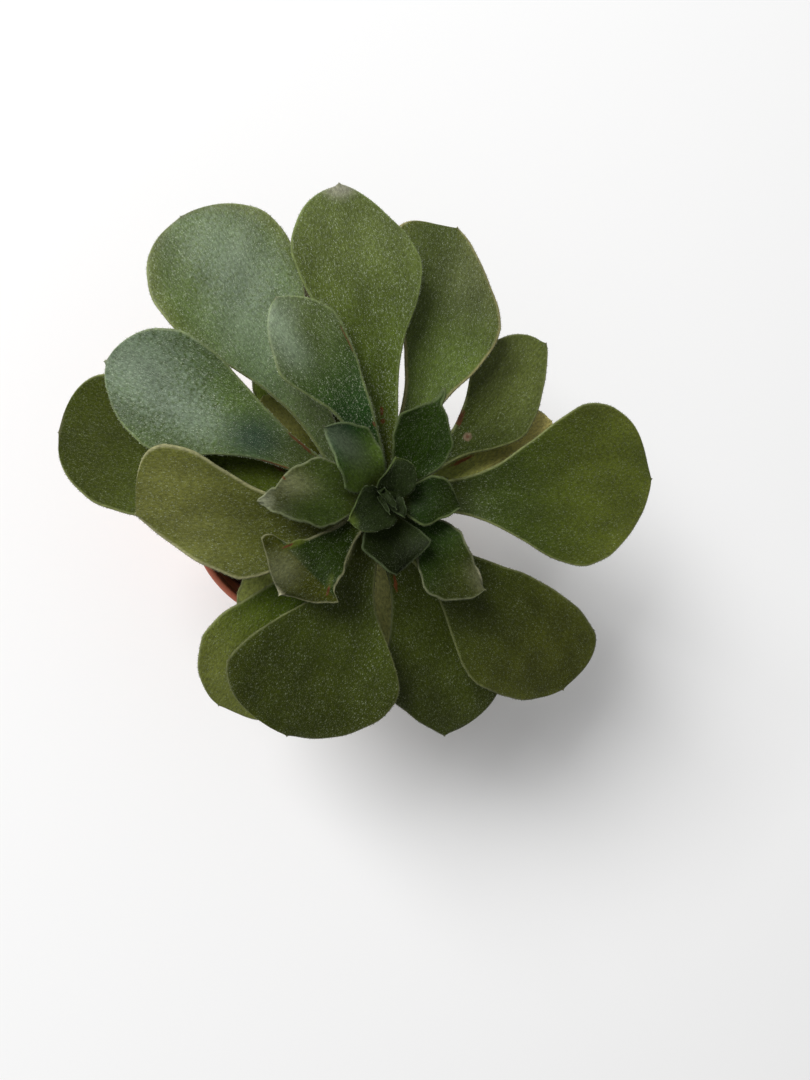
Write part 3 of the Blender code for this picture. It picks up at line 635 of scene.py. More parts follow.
INNER_LOOKS = {
    "leaf_01": Look((0.008, 0.020, 0.001), (0.011, 0.020, 0.001), 0.12, (0.085, 0.110, 0.040), gloss=0.06),
    "leaf_02": Look((0.064, 0.106, 0.015), (0.001, 0.023, 0.001), 0.15, (0.100, 0.135, 0.055), gloss=0.08,
                    # leaf_02: the pale bluish patch on its middle is a painted highlight.
                    marks=(Mark(20, 0, 8, 3.5, 0, (0.075, 0.095, 0.060), 0.7, 0.9),)),
    "leaf_03": Look((0.011, 0.019, 0.002), (0.005, 0.008, 0.001), 0.0, (0.060, 0.080, 0.035), gloss=0.06),
    "leaf_04": Look((0.011, 0.025, 0.001), (0.015, 0.032, 0.002), 0.20, (0.080, 0.105, 0.040), gloss=0.06),
    "leaf_05": Look((0.044, 0.067, 0.010), (0.026, 0.031, 0.001), 0.30, (0.150, 0.170, 0.085), gloss=0.10,
                    # leaf_05: the pale beak patch is partly white down and partly painted sheen, where the
                    # turned-down beak faces the light. The dark green patch nearer the root, on its lower
                    # side, is painted shade in the leaf's deep bowl.
                    marks=(Mark(36.5, -0.5, 5.0, 7, 0, (0.250, 0.265, 0.170), 0.80, 0.6),
                           Mark(27.0, -5.5, 8, 3.5, -20, HOARY_AND_SHEEN, 0.50, 0.9),
                           Mark(20.0, 4.5, 8, 4.5, 0, (0.012, 0.026, 0.002), 0.55, 0.9),
                           Mark(27.6, -6.6, 1.2, 0.35, -50, SCAR_RED, 0.8, 0.3, 1.6))),
    "leaf_06": Look((0.011, 0.029, 0.001), (0.025, 0.031, 0.004), 0.20, (0.130, 0.140, 0.075), gloss=0.06,
                    marks=(Mark(39, 4, 7, 5, 0, (0.200, 0.200, 0.115), 0.55, 0.9),
                           Mark(34.0, 3.8, 6.0, 1.2, -25, (0.380, 0.360, 0.230), 0.95, 0.5))),
    "leaf_07": Look((0.011, 0.022, 0.001), (0.030, 0.034, 0.001), 0.30, (0.190, 0.190, 0.100), gloss=0.06,
                    turn=(0.655, 0.680),
                    marks=(Mark(33, -6, 5.0, 5.0, 0, HOARY_AND_SHEEN, 0.45, 0.9),
                           # leaf_07: the pale band across the folded-down end is partly its thick white
                           # fringe and partly painted sheen, where the steep end catches the light at a
                           # grazing angle.
                           Mark(41, 2, 2.5, 20, 0, (0.420, 0.400, 0.260), 0.95, 0.5),
                           Mark(24.5, -9.0, 3.4, 1.0, -22, LIME, 0.9),
                           Mark(25.5, 6.4, 2.4, 0.8, 30, LIME, 0.5),
                           Mark(26.8, -10.0, 2.0, 0.32, -22, SCAR_BROWN_RED, 0.9, 0.4, 2.0),
                           Mark(27.4, 7.8, 1.5, 0.35, 34, SCAR_BROWN_RED, 0.9, 0.4, 1.2))),
}


def heading(azimuth, rise_angle=0.0):
    """Unit vectors at azimuths and rises."""
    a, e = np.radians(azimuth), np.radians(rise_angle)
    return np.stack(np.broadcast_arrays(np.cos(a) * np.cos(e), np.sin(a) * np.cos(e), np.sin(e)), axis=-1)


def root_radius(leaf, level):
    """How far from the stem's axis a leaf's root lies at each height."""
    return np.full_like(level, leaf.core) if leaf.core else stem_radius(level) + CLEARANCE


def leaf_midrib(leaf):
    """Closely spaced points along a leaf's midrib, from the stem's surface to the leaf's end."""
    height, azimuth = leaf.root
    root = stem_axis(height) + root_radius(leaf, np.array(height)) * heading(azimuth)
    tip_azimuth, reach, tip_height = leaf.tip
    tip = np.array([*ROSETTE_AXIS, 0.0]) + reach * heading(tip_azimuth)
    tip[2] = tip_height
    chord = np.linalg.norm(tip - root)
    near = root + HANDLE * chord * heading(azimuth, leaf.slope[0])
    aim = leaf.aim
    if aim is None:
        aim = math.degrees(math.atan2(tip[1] - near[1], tip[0] - near[0]))
    far = tip - HANDLE * chord * heading(aim, leaf.slope[1])
    u = np.linspace(0.0, 1.0, MIDRIB_SAMPLES)[:, None]
    return (1 - u) ** 3 * root + 3 * (1 - u) ** 2 * u * near + 3 * (1 - u) * u**2 * far + u**3 * tip


def along_curve(points, shares):
    """Points at shares of a curve's length, and that length."""
    steps = np.linalg.norm(np.diff(points, axis=0), axis=1)
    length = np.concatenate([[0.0], np.cumsum(steps)])
    at = np.asarray(shares) * length[-1]
    return np.stack([np.interp(at, length, points[:, k]) for k in range(3)], axis=1), length[-1]


def leaf_rows(below, above, belly, end=0.998):
    """Shares along the midrib for the rows: even up to the belly, then closer towards the tip."""
    lower = belly * np.linspace(0.0, 1.0, below)
    upper = belly + (end - belly) * np.sin(0.5 * np.pi * np.linspace(0.0, 1.0, above + 1))[1:]
    return np.concatenate([lower, upper])


def half_width(leaf, t, side):
    """Half-width of the leaf at shares of its length, on its left (1) or right (-1) side."""
    widest, belly, blunt, waist = leaf.left if side > 0 else leaf.right
    cusp = leaf.cusp * np.minimum(1.0, (1.0 - t) / (1.0 - belly)) ** 0.7
    spoon = leaf.neck + (widest - leaf.neck) * np.sin(0.5 * math.pi * np.minimum(t / belly, 1.0)) ** waist
    v = np.clip((t - belly) / (1.0 - leaf.point - belly), 0.0, 1.0)
    end = np.hypot(math.sqrt(widest**2 - leaf.cusp**2) * (1.0 - v**blunt) ** (1.0 / blunt), cusp)
    half = np.where(t <= belly, spoon, end)
    if leaf.fold:
        half = half * (1.0 + leaf.fold[2] * smooth_step((t - leaf.fold[0] + FOLD_BOW) / FLARE_LENGTH))
    return half


def wandered(half, t, length, phase):
    """The margin's own small bends, which fade out at the stalk and the tip."""
    run = 2.0 * math.pi * 1000.0 * length * t
    long, short = WANDER_WAVES_MM
    bends = MARGIN_WANDER * (np.sin(run / long + phase) + 0.7 * np.sin(run / short + 2.1 * phase))
    young = min(1.0, max(0.0, (YOUNG_LENGTH + YOUNG_FADE - length) / YOUNG_FADE))
    long, short = CRINKLE_WAVES_MM
    crinkle = np.sin(run / long + 1.7 * phase) + 0.4 * np.sin(run / short + phase)
    bends = bends + young * MARGIN_CRINKLE * crinkle
    return half + bends * smooth_step((t - 0.25) / 0.25) * smooth_step((1.0 - t) / 0.06)


def fold_drop(leaf, t, share, length):
    """How far a folded end lies below the flat blade, past a fold that bows out along the midrib."""
    if not leaf.fold:
        return 0.0
    beyond = length * (t - leaf.fold[0] + FOLD_BOW * share**2)
    return leaf.fold[1] * 0.5 * (beyond + np.hypot(beyond, FOLD_ROUND))


def leaf_ring():
    """One ring round a leaf: place across (-1 to 1), layer (1 above, -1 below), bulge past the edge."""
    across = np.linspace(-1.0, 1.0, LEAF_COLUMNS)
    turn = np.radians(RIM_STEPS)
    place = np.concatenate([across, np.ones(len(turn)), across[::-1], -np.ones(len(turn))])
    full, flat = np.ones(LEAF_COLUMNS), np.zeros(LEAF_COLUMNS)
    layer = np.concatenate([full, np.cos(turn), -full, np.cos(turn[::-1])])
    bulge = np.concatenate([flat, np.sin(turn), flat, np.sin(turn)])
    return place, layer, bulge


def midrib_frame(leaf, curve, rows):
    """Points of the midrib, and at each the ways ahead, to the left and out of the upper face."""
    middle, _ = along_curve(curve, rows)
    after, _ = along_curve(curve, np.minimum(1.0, rows + 0.01))
    before, _ = along_curve(curve, np.maximum(0.0, rows - 0.01))
    ahead = (after - before) / np.linalg.norm(after - before, axis=1)[:, None]
    left = np.cross([0.0, 0.0, 1.0], ahead)
    left /= np.linalg.norm(left, axis=1)[:, None]
    normal = np.cross(ahead, left)
    turn = (math.radians(leaf.roll) * smooth_step(rows / 0.6))[:, None]
    rolled_left = np.cos(turn) * left + np.sin(turn) * normal
    rolled_normal = np.cos(turn) * normal - np.sin(turn) * left
    return middle[:, None, :], ahead, rolled_left[:, None, :], rolled_normal[:, None, :]


def rippled(lift, t, place, x_mm, y_mm, phase, rng):
    """The blade's height with its ripples and pleats, which fade out towards the root."""
    for wave_mm in FLUTTER_WAVES_MM:
        way, start = rng.uniform(0.0, 2.0 * math.pi, 2)
        ripple = np.sin(2 * math.pi * (x_mm * math.cos(way) + y_mm * math.sin(way)) / wave_mm + start)
        lift = lift + FLUTTER * ripple * smooth_step((t - 0.1) / 0.3)
    pleats = np.sin(2 * math.pi * PLEAT_COUNT * place * (1.0 - 0.25 * t) + phase)
    return lift + PLEAT * pleats * smooth_step((t - 0.2) / 0.3) * smooth_step((0.95 - t) / 0.2)


def wrapped_on(leaf, grid, t, place, lift, depth):
    """The leaf's surface with its root curved round the stem that it grows from."""
    height, azimuth = leaf.root
    level = height + lift + depth / math.cos(math.radians(leaf.slope[0]))
    hold = root_radius(leaf, level)
    rooted = stem_axis(level) + hold[..., None] * heading(azimuth + np.degrees(place * leaf.neck / hold))
    return grid + (1.0 - smooth_step(t / ROOT_WRAP))[..., None] * (rooted - grid)


def blade_middle(leaf, t, side, share, length, phases):
    """The surface halfway through a leaf: its widths, thickness and cupping, and how it lies."""
    left_half = wandered(half_width(leaf, t, 1.0), t, length, phases[0])
    right_half = wandered(half_width(leaf, t, -1.0), t, length, phases[1])
    half = np.where(side > 0, left_half, right_half)
    thick = leaf.thick[0] + (leaf.thick[1] - leaf.thick[0]) * smooth_step(t / 0.5)
    rim = np.minimum(0.5 * thick * MARGIN_SHARE, 0.45 * half)
    cup = np.radians(np.interp(t, [0.0, 0.7, 1.0], leaf.cup))
    across = (half - rim) * np.sin(cup * share) / cup
    lift = (half - rim) * (1.0 - np.cos(cup * share)) / cup
    wave = share**2 * np.sin(2 * math.pi * (MARGIN_WAVES * t + 0.2 * side))
    lift += leaf.wave * wave * smooth_step(t / 0.5)
    lift -= leaf.hook * np.maximum(0.0, (t - 0.6) / 0.4) ** 2 + fold_drop(leaf, t, share, length)
    return half, thick, rim, cup * share, across, lift


def face_depth(thick, rim, t, share, layer, x_mm):
    """How far each face lies from the middle: less towards the rim, and grooved above the midrib."""
    groove = MIDRIB_GROOVE * np.exp(-((x_mm / MIDRIB_GROOVE_MM) ** 2)) * smooth_step(t / 0.15)
    groove = groove * (1.0 - smooth_step((t - 0.35) / 0.5))
    body = rim + (0.5 * thick - rim) * (1.0 - share**2)
    return layer * body - np.maximum(layer, 0.0) * groove


def leaf_grid(leaf, seed):
    """The leaf's surface as rows of rings, with each point's place and share, and the ways out of it."""
    rng = np.random.default_rng(seed)
    phases = rng.uniform(0.0, 2.0 * math.pi, 3)
    curve = leaf_midrib(leaf)
    _, length = along_curve(curve, [0.0])
    below, above = [fewest + int(more * length) for fewest, more in (ROWS_BELOW_BELLY, ROWS_ABOVE_BELLY)]
    rows = leaf_rows(below, above, 0.5 * (leaf.left[1] + leaf.right[1]))
    middle, ahead, left, normal = midrib_frame(leaf, curve, rows)
    place, layer, bulge = leaf_ring()
    side, share, t = np.where(place >= 0, 1.0, -1.0), np.abs(place), rows[:, None]
    half, thick, rim, cupped, across, lift = blade_middle(leaf, t, side, share, length, phases)
    x_mm, y_mm = 1000.0 * side * (across + rim * bulge), 1000.0 * length * t
    lift = rippled(lift, t, place, x_mm, y_mm, phases[2], rng)
    depth = face_depth(thick, rim, t, share, layer, x_mm)
    turned_up = cupped[..., None]
    sideways = side[:, None] * left
    facing = np.cos(turned_up) * normal - np.sin(turned_up) * sideways
    outward = np.cos(turned_up) * sideways + np.sin(turned_up) * normal
    grid = middle + across[..., None] * sideways + lift[..., None] * normal
    grid = grid + depth[..., None] * facing + (rim * bulge)[..., None] * outward
    grid = wrapped_on(leaf, grid, t, place, lift, depth)
    end = curve[-1] - (leaf.hook + fold_drop(leaf, 1.0, 0.0, length)) * normal[-1, 0]
    margin_mm = 1000.0 * (half - across - rim * bulge)
    spot = np.stack(np.broadcast_arrays(x_mm, y_mm, layer), axis=-1)
    shares = np.stack(np.broadcast_arrays(t, place, margin_mm), axis=-1)
    return grid, spot, shares, end, facing, ahead, outward


def tag(piece, name, values):
    """Stores three numbers at each point of a piece for its finish to read."""
    stored = piece.data.attributes.new(name, "FLOAT_VECTOR", "POINT")
    stored.data.foreach_set("vector", np.asarray(values, np.float32).ravel())


def leaf_body(leaf, finish, seed):
    """The leaf as one closed skin with a rounded margin."""
    grid, spot, shares, end, facing, ahead, outward = leaf_grid(leaf, seed)
    count_r, count_c = grid.shape[:2]
    i, j = np.meshgrid(np.arange(count_r - 1), np.arange(count_c), indexing="ij")
    a, b = i * count_c + j, i * count_c + (j + 1) % count_c
    faces = np.stack([a, a + count_c, b + count_c, b], axis=-1).reshape(-1, 4).tolist()
    tip = count_r * count_c
    last = tip - count_c
    faces += [(last + k, tip, last + (k + 1) % count_c) for k in range(count_c)]
    faces.append(tuple(range(count_c)))
    piece = shaped(leaf.name + "_blade", [*grid.reshape(-1, 3), end], faces, finish, smooth_below=70)
    tag(piece, "leaf_mm", [*spot.reshape(-1, 3), spot[-1].mean(axis=0)])
    tag(piece, "leaf_share", [*shares.reshape(-1, 3), (1.0, 0.0, 0.0)])
    return piece, grid, facing, ahead, outward


def needles(name, roots, ways, lengths, widths, finish):
    """Hairs as fine three-sided needles that are sunk a little into the skin."""
    ways = ways / np.linalg.norm(ways, axis=1)[:, None]
    aside = np.cross(ways, [0.31, 0.52, 0.79])
    aside /= np.linalg.norm(aside, axis=1)[:, None]
    other = np.cross(ways, aside)
    foot = roots - HAIR_SUNK * ways
    corners = []
    for turn in (0.0, 2.1, 4.2):
        corners.append(foot + 0.5 * widths[:, None] * (math.cos(turn) * aside + math.sin(turn) * other))
    corners.append(roots + lengths[:, None] * ways)
    points = np.stack(corners, axis=1).reshape(-1, 3)
    base = 4 * np.arange(len(roots))[:, None, None]
    faces = (base + np.array([[0, 1, 3], [1, 2, 3], [2, 0, 3]])).reshape(-1, 3).tolist()
    return shaped(name, points, faces, finish, smooth_below=180)


def blend_rows(field, row, column):
    """Values between a grid's points, at fractions of a row and a column."""
    i = np.clip(row.astype(int), 0, field.shape[0] - 2)
    j = np.clip(column.astype(int), 0, field.shape[1] - 2)
    u, v = (row - i)[:, None], (column - j)[:, None]
    near = (1 - v) * field[i, j] + v * field[i, j + 1]
    far = (1 - v) * field[i + 1, j] + v * field[i + 1, j + 1]
    return (1 - u) * near + u * far


def coat_of_hairs(grid, facing, first, density, longest, rng):
    """Roots, directions and lengths of the hairs on one face, whose columns start at first."""
    face = grid[:, first:first + LEAF_COLUMNS]
    out = facing[:, first:first + LEAF_COLUMNS] * (1.0 if first == 0 else -1.0)
    along = np.gradient(face, axis=0)
    step_a, step_b = np.diff(face, axis=0)[:, :-1], np.diff(face, axis=1)[:-1]
    areas = np.linalg.norm(np.cross(step_a, step_b), axis=-1) * 1e6
    count = int(density * areas.sum())
    cell = rng.choice(areas.size, count, p=(areas / areas.sum()).ravel())
    row = cell // areas.shape[1] + rng.uniform(size=count)
    column = cell % areas.shape[1] + rng.uniform(size=count)
    roots = blend_rows(face, row, column)
    lie = blend_rows(along, row, column)
    lie /= np.linalg.norm(lie, axis=1)[:, None] + 1e-9
    stand = blend_rows(out, row, column)
    ways = HAIR_LIES * lie + HAIR_STANDS * stand + rng.normal(0.0, HAIR_STRAYS, (count, 3))
    lengths = longest * rng.uniform(0.5, 1.0, count)
    return roots, ways, lengths


def fringe_of_hairs(grid, outward, ahead, longest, rng):
    """Roots, directions and lengths of the hairs that stand along both margins."""
    roots, ways, lengths = [], [], []
    left_edge, right_edge = LEAF_COLUMNS + 1, 2 * LEAF_COLUMNS + len(RIM_STEPS) + 1
    for column in (left_edge, right_edge):
        edge = grid[:, column]
        run = np.concatenate([[0.0], np.cumsum(np.linalg.norm(np.diff(edge, axis=0), axis=1))])
        count = int(run[-1] / FRINGE_SPACING)
        at = np.sort(rng.uniform(0.04 * run[-1], run[-1], count))
        row = np.interp(at, run, np.arange(len(run)))
        i = np.clip(row.astype(int), 0, len(run) - 2)
        u = (row - i)[:, None]
        roots.append((1 - u) * edge[i] + u * edge[i + 1])
        out, on = outward[i, column], ahead[i]
        along = edge[i + 1] - edge[i]
        along /= np.linalg.norm(along, axis=1)[:, None] + 1e-9
        flat = np.cross(np.cross(on, out), along)
        out = np.where(((out * flat).sum(1) > 0)[:, None], flat, -flat)
        tilt = rng.normal(*FRINGE_TILT, (count, 1))
        stray = rng.normal(0.0, HAIR_STRAYS, (count, 3))
        ways.append(out + FRINGE_LIES * along + tilt * [0.0, 0.0, 1.0] + stray)
        lengths.append(longest * rng.uniform(0.5, 1.0, count))
    return np.concatenate(roots), np.concatenate(ways), np.concatenate(lengths)


def grow_leaf(leaf, finish, down, seed, hair=HAIR_LENGTH, node=None):
    """One leaf and its down, settled on the plant in place of the leaf's plain solid."""
    piece, grid, facing, ahead, outward = leaf_body(leaf, finish, seed)
    settle(piece, node or leaf.name)
    rng = np.random.default_rng(seed)
    under = LEAF_COLUMNS + len(RIM_STEPS)
    coats = [coat_of_hairs(grid, facing, 0, DOWN_UPPER, hair, rng)]
    coats.append(coat_of_hairs(grid, facing, under, DOWN_UNDER, hair, rng))
    coats.append(fringe_of_hairs(grid, outward, ahead, FRINGE_LONGER * hair, rng))
    roots, ways, lengths = [np.concatenate(part) for part in zip(*coats)]
    widths = HAIR_WIDTH * rng.uniform(0.7, 1.25, len(roots))
    widths[-len(coats[2][0]):] *= FRINGE_THICKER
    settle(needles(leaf.name + "_down", roots, ways, lengths, widths, down))


def patch(finish, colour, spot, ragged, mark):
    """One soft or ragged patch on a leaf's upper face."""
    off = put(finish, "VectorMath", {0: spot, 1: (mark.across, mark.along, 1.0)}, operation="SUBTRACT")
    lean = {"Vector": off, "Angle": math.radians(mark.lean)}
    off = put(finish, "VectorRotate", lean, rotation_type="Z_AXIS")
    off = stretch(finish, off, (1.0 / mark.wide, 1.0 / mark.long, 0.5))
    away = put(finish, "VectorMath", {0: off}, output=1, operation="LENGTH")
    away = plus(finish, away, times(finish, ragged, mark.rough))
    share = rise(finish, away, 1.0 + mark.soft, 1.0 - mark.soft, mark.share)
    return mixed(finish, share, colour, mark.colour)


def hair_roots(finish, where, scale, size):
    """Round pale points, each of its own strength, that stand for the roots of hairs."""
    dots = put(finish, "TexVoronoi", {"Vector": where, "Scale": scale, "Randomness": 1.0}).node.outputs
    chance = put(finish, "SeparateXYZ", {"Vector": dots["Color"]})
    point = rise(finish, dots["Distance"], size, 0.25 * size)
    return times(finish, point, rise(finish, chance, 0.15, 1.00))


def patchy_shade(finish, value, low, high):
    """A noise carried over to a span of shades, to darken and lighten a colour by."""
    inputs = {"Value": value, "From Min": 0.3, "From Max": 0.7, "To Min": low, "To Max": high}
    return put(finish, "MapRange", inputs)


def downy(finish, colour, place, share, speck):
    """A colour under the down's pale roots, thick in patches and towards the stalk, and the large ones."""
    thick_down = rise(finish, grain(finish, place, 0.16, 2.0), 0.30, 0.62)
    thick_down = plus(finish, thick_down, rise(finish, share, 0.55, 0.20))
    fleck = hair_roots(finish, stretch(finish, place, (1.75, 1.05, 1.0)), 1.0, 0.38)
    fleck = times(finish, fleck, plus(finish, times(finish, thick_down, 0.6), 0.4))
    colour = mixed(finish, times(finish, fleck, speck), colour, DOWN_WHITE)
    stipple = hair_roots(finish, place, 2.2, 0.46)
    stipple = times(finish, stipple, plus(finish, times(finish, thick_down, 0.35), 0.25))
    colour = mixed(finish, times(finish, stipple, 0.06 + 0.75 * speck), colour, DOWN_WHITE)
    return colour, fleck


def leaf_finish(name, look, seed):
    """A fleshy green blade under down: pale points where hairs stand, a pale margin, old wounds, and
    painted highlights and shade.
    """
    finish, shader = new_finish(name, LEAF_ROUGHNESS, specular=look.gloss)
    spot = put(finish, "Attribute", {}, output=1, attribute_name="leaf_mm")
    shares = put(finish, "Attribute", {}, output=1, attribute_name="leaf_share")
    parts = put(finish, "SeparateXYZ", {"Vector": shares}).node.outputs
    share, margin = parts[0], parts[2]
    layer = height_of(finish, spot)
    place = put(finish, "VectorMath", {0: spot, 1: (7.3 * seed, 3.1 * seed, 0.0)}, operation="ADD")
    colour = mixed(finish, rise(finish, share, *look.turn), look.near, look.far)
    colour = mixed(finish, rise(finish, share, 0.30, 0.02, 0.75), colour, look.root)
    far_rim = times(finish, rise(finish, margin, 7.0, 0.5), rise(finish, share, 0.45, 0.85))
    colour = mixed(finish, times(finish, far_rim, look.warm), colour, WARM_END)
    colour = mixed(finish, rise(finish, layer, 0.2, -0.4, 0.85), colour, look.under)
    colour, fleck = downy(finish, colour, place, share, look.speck)
    colour = mixed(finish, rise(finish, margin, look.rim, 0.3 * look.rim, 0.85), colour, look.edge)
    ragged = plus(finish, grain(finish, place, 0.9, 4.0), -0.5)
    for mark in look.marks:
        colour = patch(finish, colour, spot, ragged, mark)
    # The blotches below are the skin's own uneven tone. The wrinkles that raise the relief also lighten and
    # darken the colour, after the patches are laid: painted shading of the wrinkles, which also breaks up
    # the painted highlights.
    blotch = grain(finish, stretch(finish, place, (1.6, 0.8, 1.0)), 0.07, 4.0)
    wrinkles = grain(finish, stretch(finish, place, (1.5, 0.7, 1.0)), 1.0, 3.0)
    shade = patchy_shade(finish, blotch, 0.78, 1.22)
    shade = times(finish, shade, patchy_shade(finish, wrinkles, 0.70, 1.30))
    grey = put(finish, "CombineColor", {0: shade, 1: shade, 2: shade})
    colour = mixed(finish, 1.0, colour, grey, "MULTIPLY")
    colour = mixed(finish, rise(finish, share, 0.980, 0.998, 0.7), colour, APEX_PALE)
    colour_shader(finish, shader, colour)
    skin = plus(finish, times(finish, grain(finish, place, 2.6, 2.0), 0.5), wrinkles)
    raise_relief(finish, shader, plus(finish, times(finish, fleck, 0.5), skin), 0.00036, 0.6)
    return finish


def down_finish(name, clear, dusty):
    """White hairs, some of them clear and some dull with dust."""
    finish, shader = new_finish(name, 0.6, specular=0.3)
    where = own_place(finish)
    dust = rise(finish, grain(finish, where, 1300.0, 1.0), 0.42, 0.62)
    colour_shader(finish, shader, mixed(finish, dust, clear, dusty))
    return finish


def grow_ring(leaves, looks, down, first_seed, paler=()):
    """A ring of leaves, each with its own colouring. Those named as paler have pale down."""
    for seed, leaf in enumerate(leaves, first_seed):
        finish = leaf_finish(leaf.name + "_skin", looks[leaf.name], seed)
        grow_leaf(leaf, finish, pale_down if leaf.name in paler else down, seed)


young_down = down_finish("young_down", (0.050, 0.062, 0.034), (0.140, 0.165, 0.100))
dark_down = down_finish("dark_down", (0.075, 0.085, 0.038), (0.250, 0.270, 0.145))
pale_down = down_finish("pale_down", (0.140, 0.170, 0.095), (0.520, 0.580, 0.430))

grow_ring(INNER_LEAVES, INNER_LOOKS, young_down, 1)

# Middle of the rosette
# Six full-grown leaves held level or a little below, thick at the root and thin at the margin. Their
# down shows paler than on the young ones, and some yellow a little along the margin of their end.
MIDDLE_LEAVES = [
    Leaf("leaf_08", (0.1108, 100), (120, 0.0652, 0.1240), (34, -8),
         (0.0120, 0.71, 1.8, 8.0), (0.0123, 0.80, 1.7, 3.6), aim=120),
    Leaf("leaf_09", (0.1042, 4), (5, 0.0950, 0.1100), (18, -14),
         (0.0262, 0.76, 2.1, 4.6), (0.0267, 0.67, 1.5, 4.0), neck=0.0048),
    Leaf("leaf_10", (0.1075, 195), (-176, 0.0720, 0.1060), (16, -17),
         (0.0180, 0.55, 1.15, 2.2), (0.0218, 0.86, 3.0, 4.2), aim=176, roll=-12),
    Leaf("leaf_11", (0.0976, -45), (-43, 0.0950, 0.0940), (18, -20),
         (0.0197, 0.88, 2.0, 2.0), (0.0240, 0.62, 2.0, 4.6), aim=-62),
    Leaf("leaf_12", (0.1075, 80), (98, 0.0951, 0.1160), (24, -6),
         (0.0197, 0.78, 2.0, 3.2), (0.0189, 0.70, 1.5, 7.8), aim=101, neck=0.0034, cusp=0.0110),
    Leaf("leaf_13", (0.1009, -92), (-109, 0.0803, 0.0920), (14, -24),
         (0.0249, 0.64, 1.7, 6.6), (0.0290, 0.77, 1.95, 2.5), aim=-116),
]
# Soft bluish-white patches laid on the leaves that face the light: painted highlights, the light's
# reflection in the downy skin.
PAINTED_HIGHLIGHT = (0.215, 0.275, 0.205)
MIDDLE_LOOKS = {
    # leaf_08 carries two painted highlights where its skin faces the light.
    "leaf_08": Look((0.008, 0.035, 0.001), (0.054, 0.080, 0.013), 0.6, (0.150, 0.190, 0.070), gloss=0.25,
                    marks=(Mark(50, 5.0, 7, 4.5, 0, PAINTED_HIGHLIGHT, 0.40, 0.9),
                           Mark(59, 3.0, 5, 5, 0, PAINTED_HIGHLIGHT, 0.35, 0.9),
                           Mark(42, -10.3, 4.0, 0.22, -8, SCAR_RED, 0.7, 0.5, 2.0),
                           Mark(18.3, -4.0, 0.8, 0.35, 0, SCAR_RED, 0.8, 0.4, 1.0))),
    "leaf_09": Look((0.026, 0.041, 0.002), (0.065, 0.082, 0.008), 0.30, warm=0.4),
    "leaf_10": Look((0.061, 0.070, 0.009), (0.100, 0.106, 0.022), 0.42, (0.280, 0.275, 0.140), warm=0.3,
                    rim=1.5),
    "leaf_11": Look((0.029, 0.039, 0.002), (0.039, 0.045, 0.003), 0.30, (0.100, 0.110, 0.040), warm=0.25),
    "leaf_12": Look((0.052, 0.078, 0.006), (0.080, 0.104, 0.022), 0.7, (0.150, 0.190, 0.060),
                    marks=(Mark(90.0, 0, 3.5, 4.5, 0, (0.300, 0.290, 0.220), 0.75, 0.7),
                           Mark(22.1, 2.0, 1.3, 0.65, 0, SCAR_RED, 0.95, 0.3, 1.3),
                           Mark(19.0, 1.7, 0.7, 0.90, 10, SCAR_RED, 0.9, 0.4, 1.3))),
    "leaf_13": Look((0.033, 0.046, 0.002), (0.024, 0.032, 0.001), 0.4, (0.100, 0.110, 0.040), warm=0.1),
}
grow_ring(MIDDLE_LEAVES, MIDDLE_LOOKS, dark_down, 11, paler=("leaf_08", "leaf_12"))

# Outer ring of leaves
# The largest leaves, up to 100 mm long. They arch out and droop past the pot's rim, and each is a
# broad spoon with a narrow fleshy stalk and a small point at its end.
OUTER_LEAVES = [
    Leaf("leaf_14", (0.1042, 154), (154, 0.0892, 0.1080), (22, -12),
         (0.0172, 0.75, 1.7, 6.2), (0.0181, 0.79, 1.85, 3.8), roll=-12),
    Leaf("leaf_15", (0.1009, 60), (73, 0.0925, 0.1060), (18, -10),
         (0.0210, 0.86, 3.5, 4.0), (0.0194, 0.66, 1.25, 5.2), aim=80),
    Leaf("leaf_16", (0.0910, -48), (-70, 0.0861, 0.0840), (14, -26),
         (0.0220, 0.74, 1.55, 2.6), (0.0215, 0.71, 1.2, 2.9), aim=-88),
    Leaf("leaf_17", (0.0943, 26), (42, 0.0817, 0.1000), (20, -6),
         (0.0160, 0.74, 2.2, 10.0), (0.0147, 0.64, 1.3, 8.5), aim=50, neck=0.0034),
    Leaf("leaf_18", (0.0976, -130), (-125, 0.0826, 0.0780), (8, -34),
         (0.0200, 0.80, 3.5, 3.0), (0.0173, 0.71, 1.65, 4.2)),
    Leaf("leaf_19", (0.0976, 122), (125, 0.1032, 0.1040), (16, -8),
         (0.0222, 0.76, 2.2, 4.8), (0.0233, 0.79, 2.0, 4.5), neck=0.0046, point=0.006, cusp=0.0040),
    Leaf("leaf_20", (0.1009, 168), (168, 0.0974, 0.0900), (10, -22),
         (0.0202, 0.69, 2.1, 3.0), (0.0215, 0.78, 2.6, 3.0), point=0.006, cusp=0.0040),
]
TEAL_SHADE = (0.016, 0.042, 0.028)
PALE_SCAR = (0.160, 0.110, 0.070)
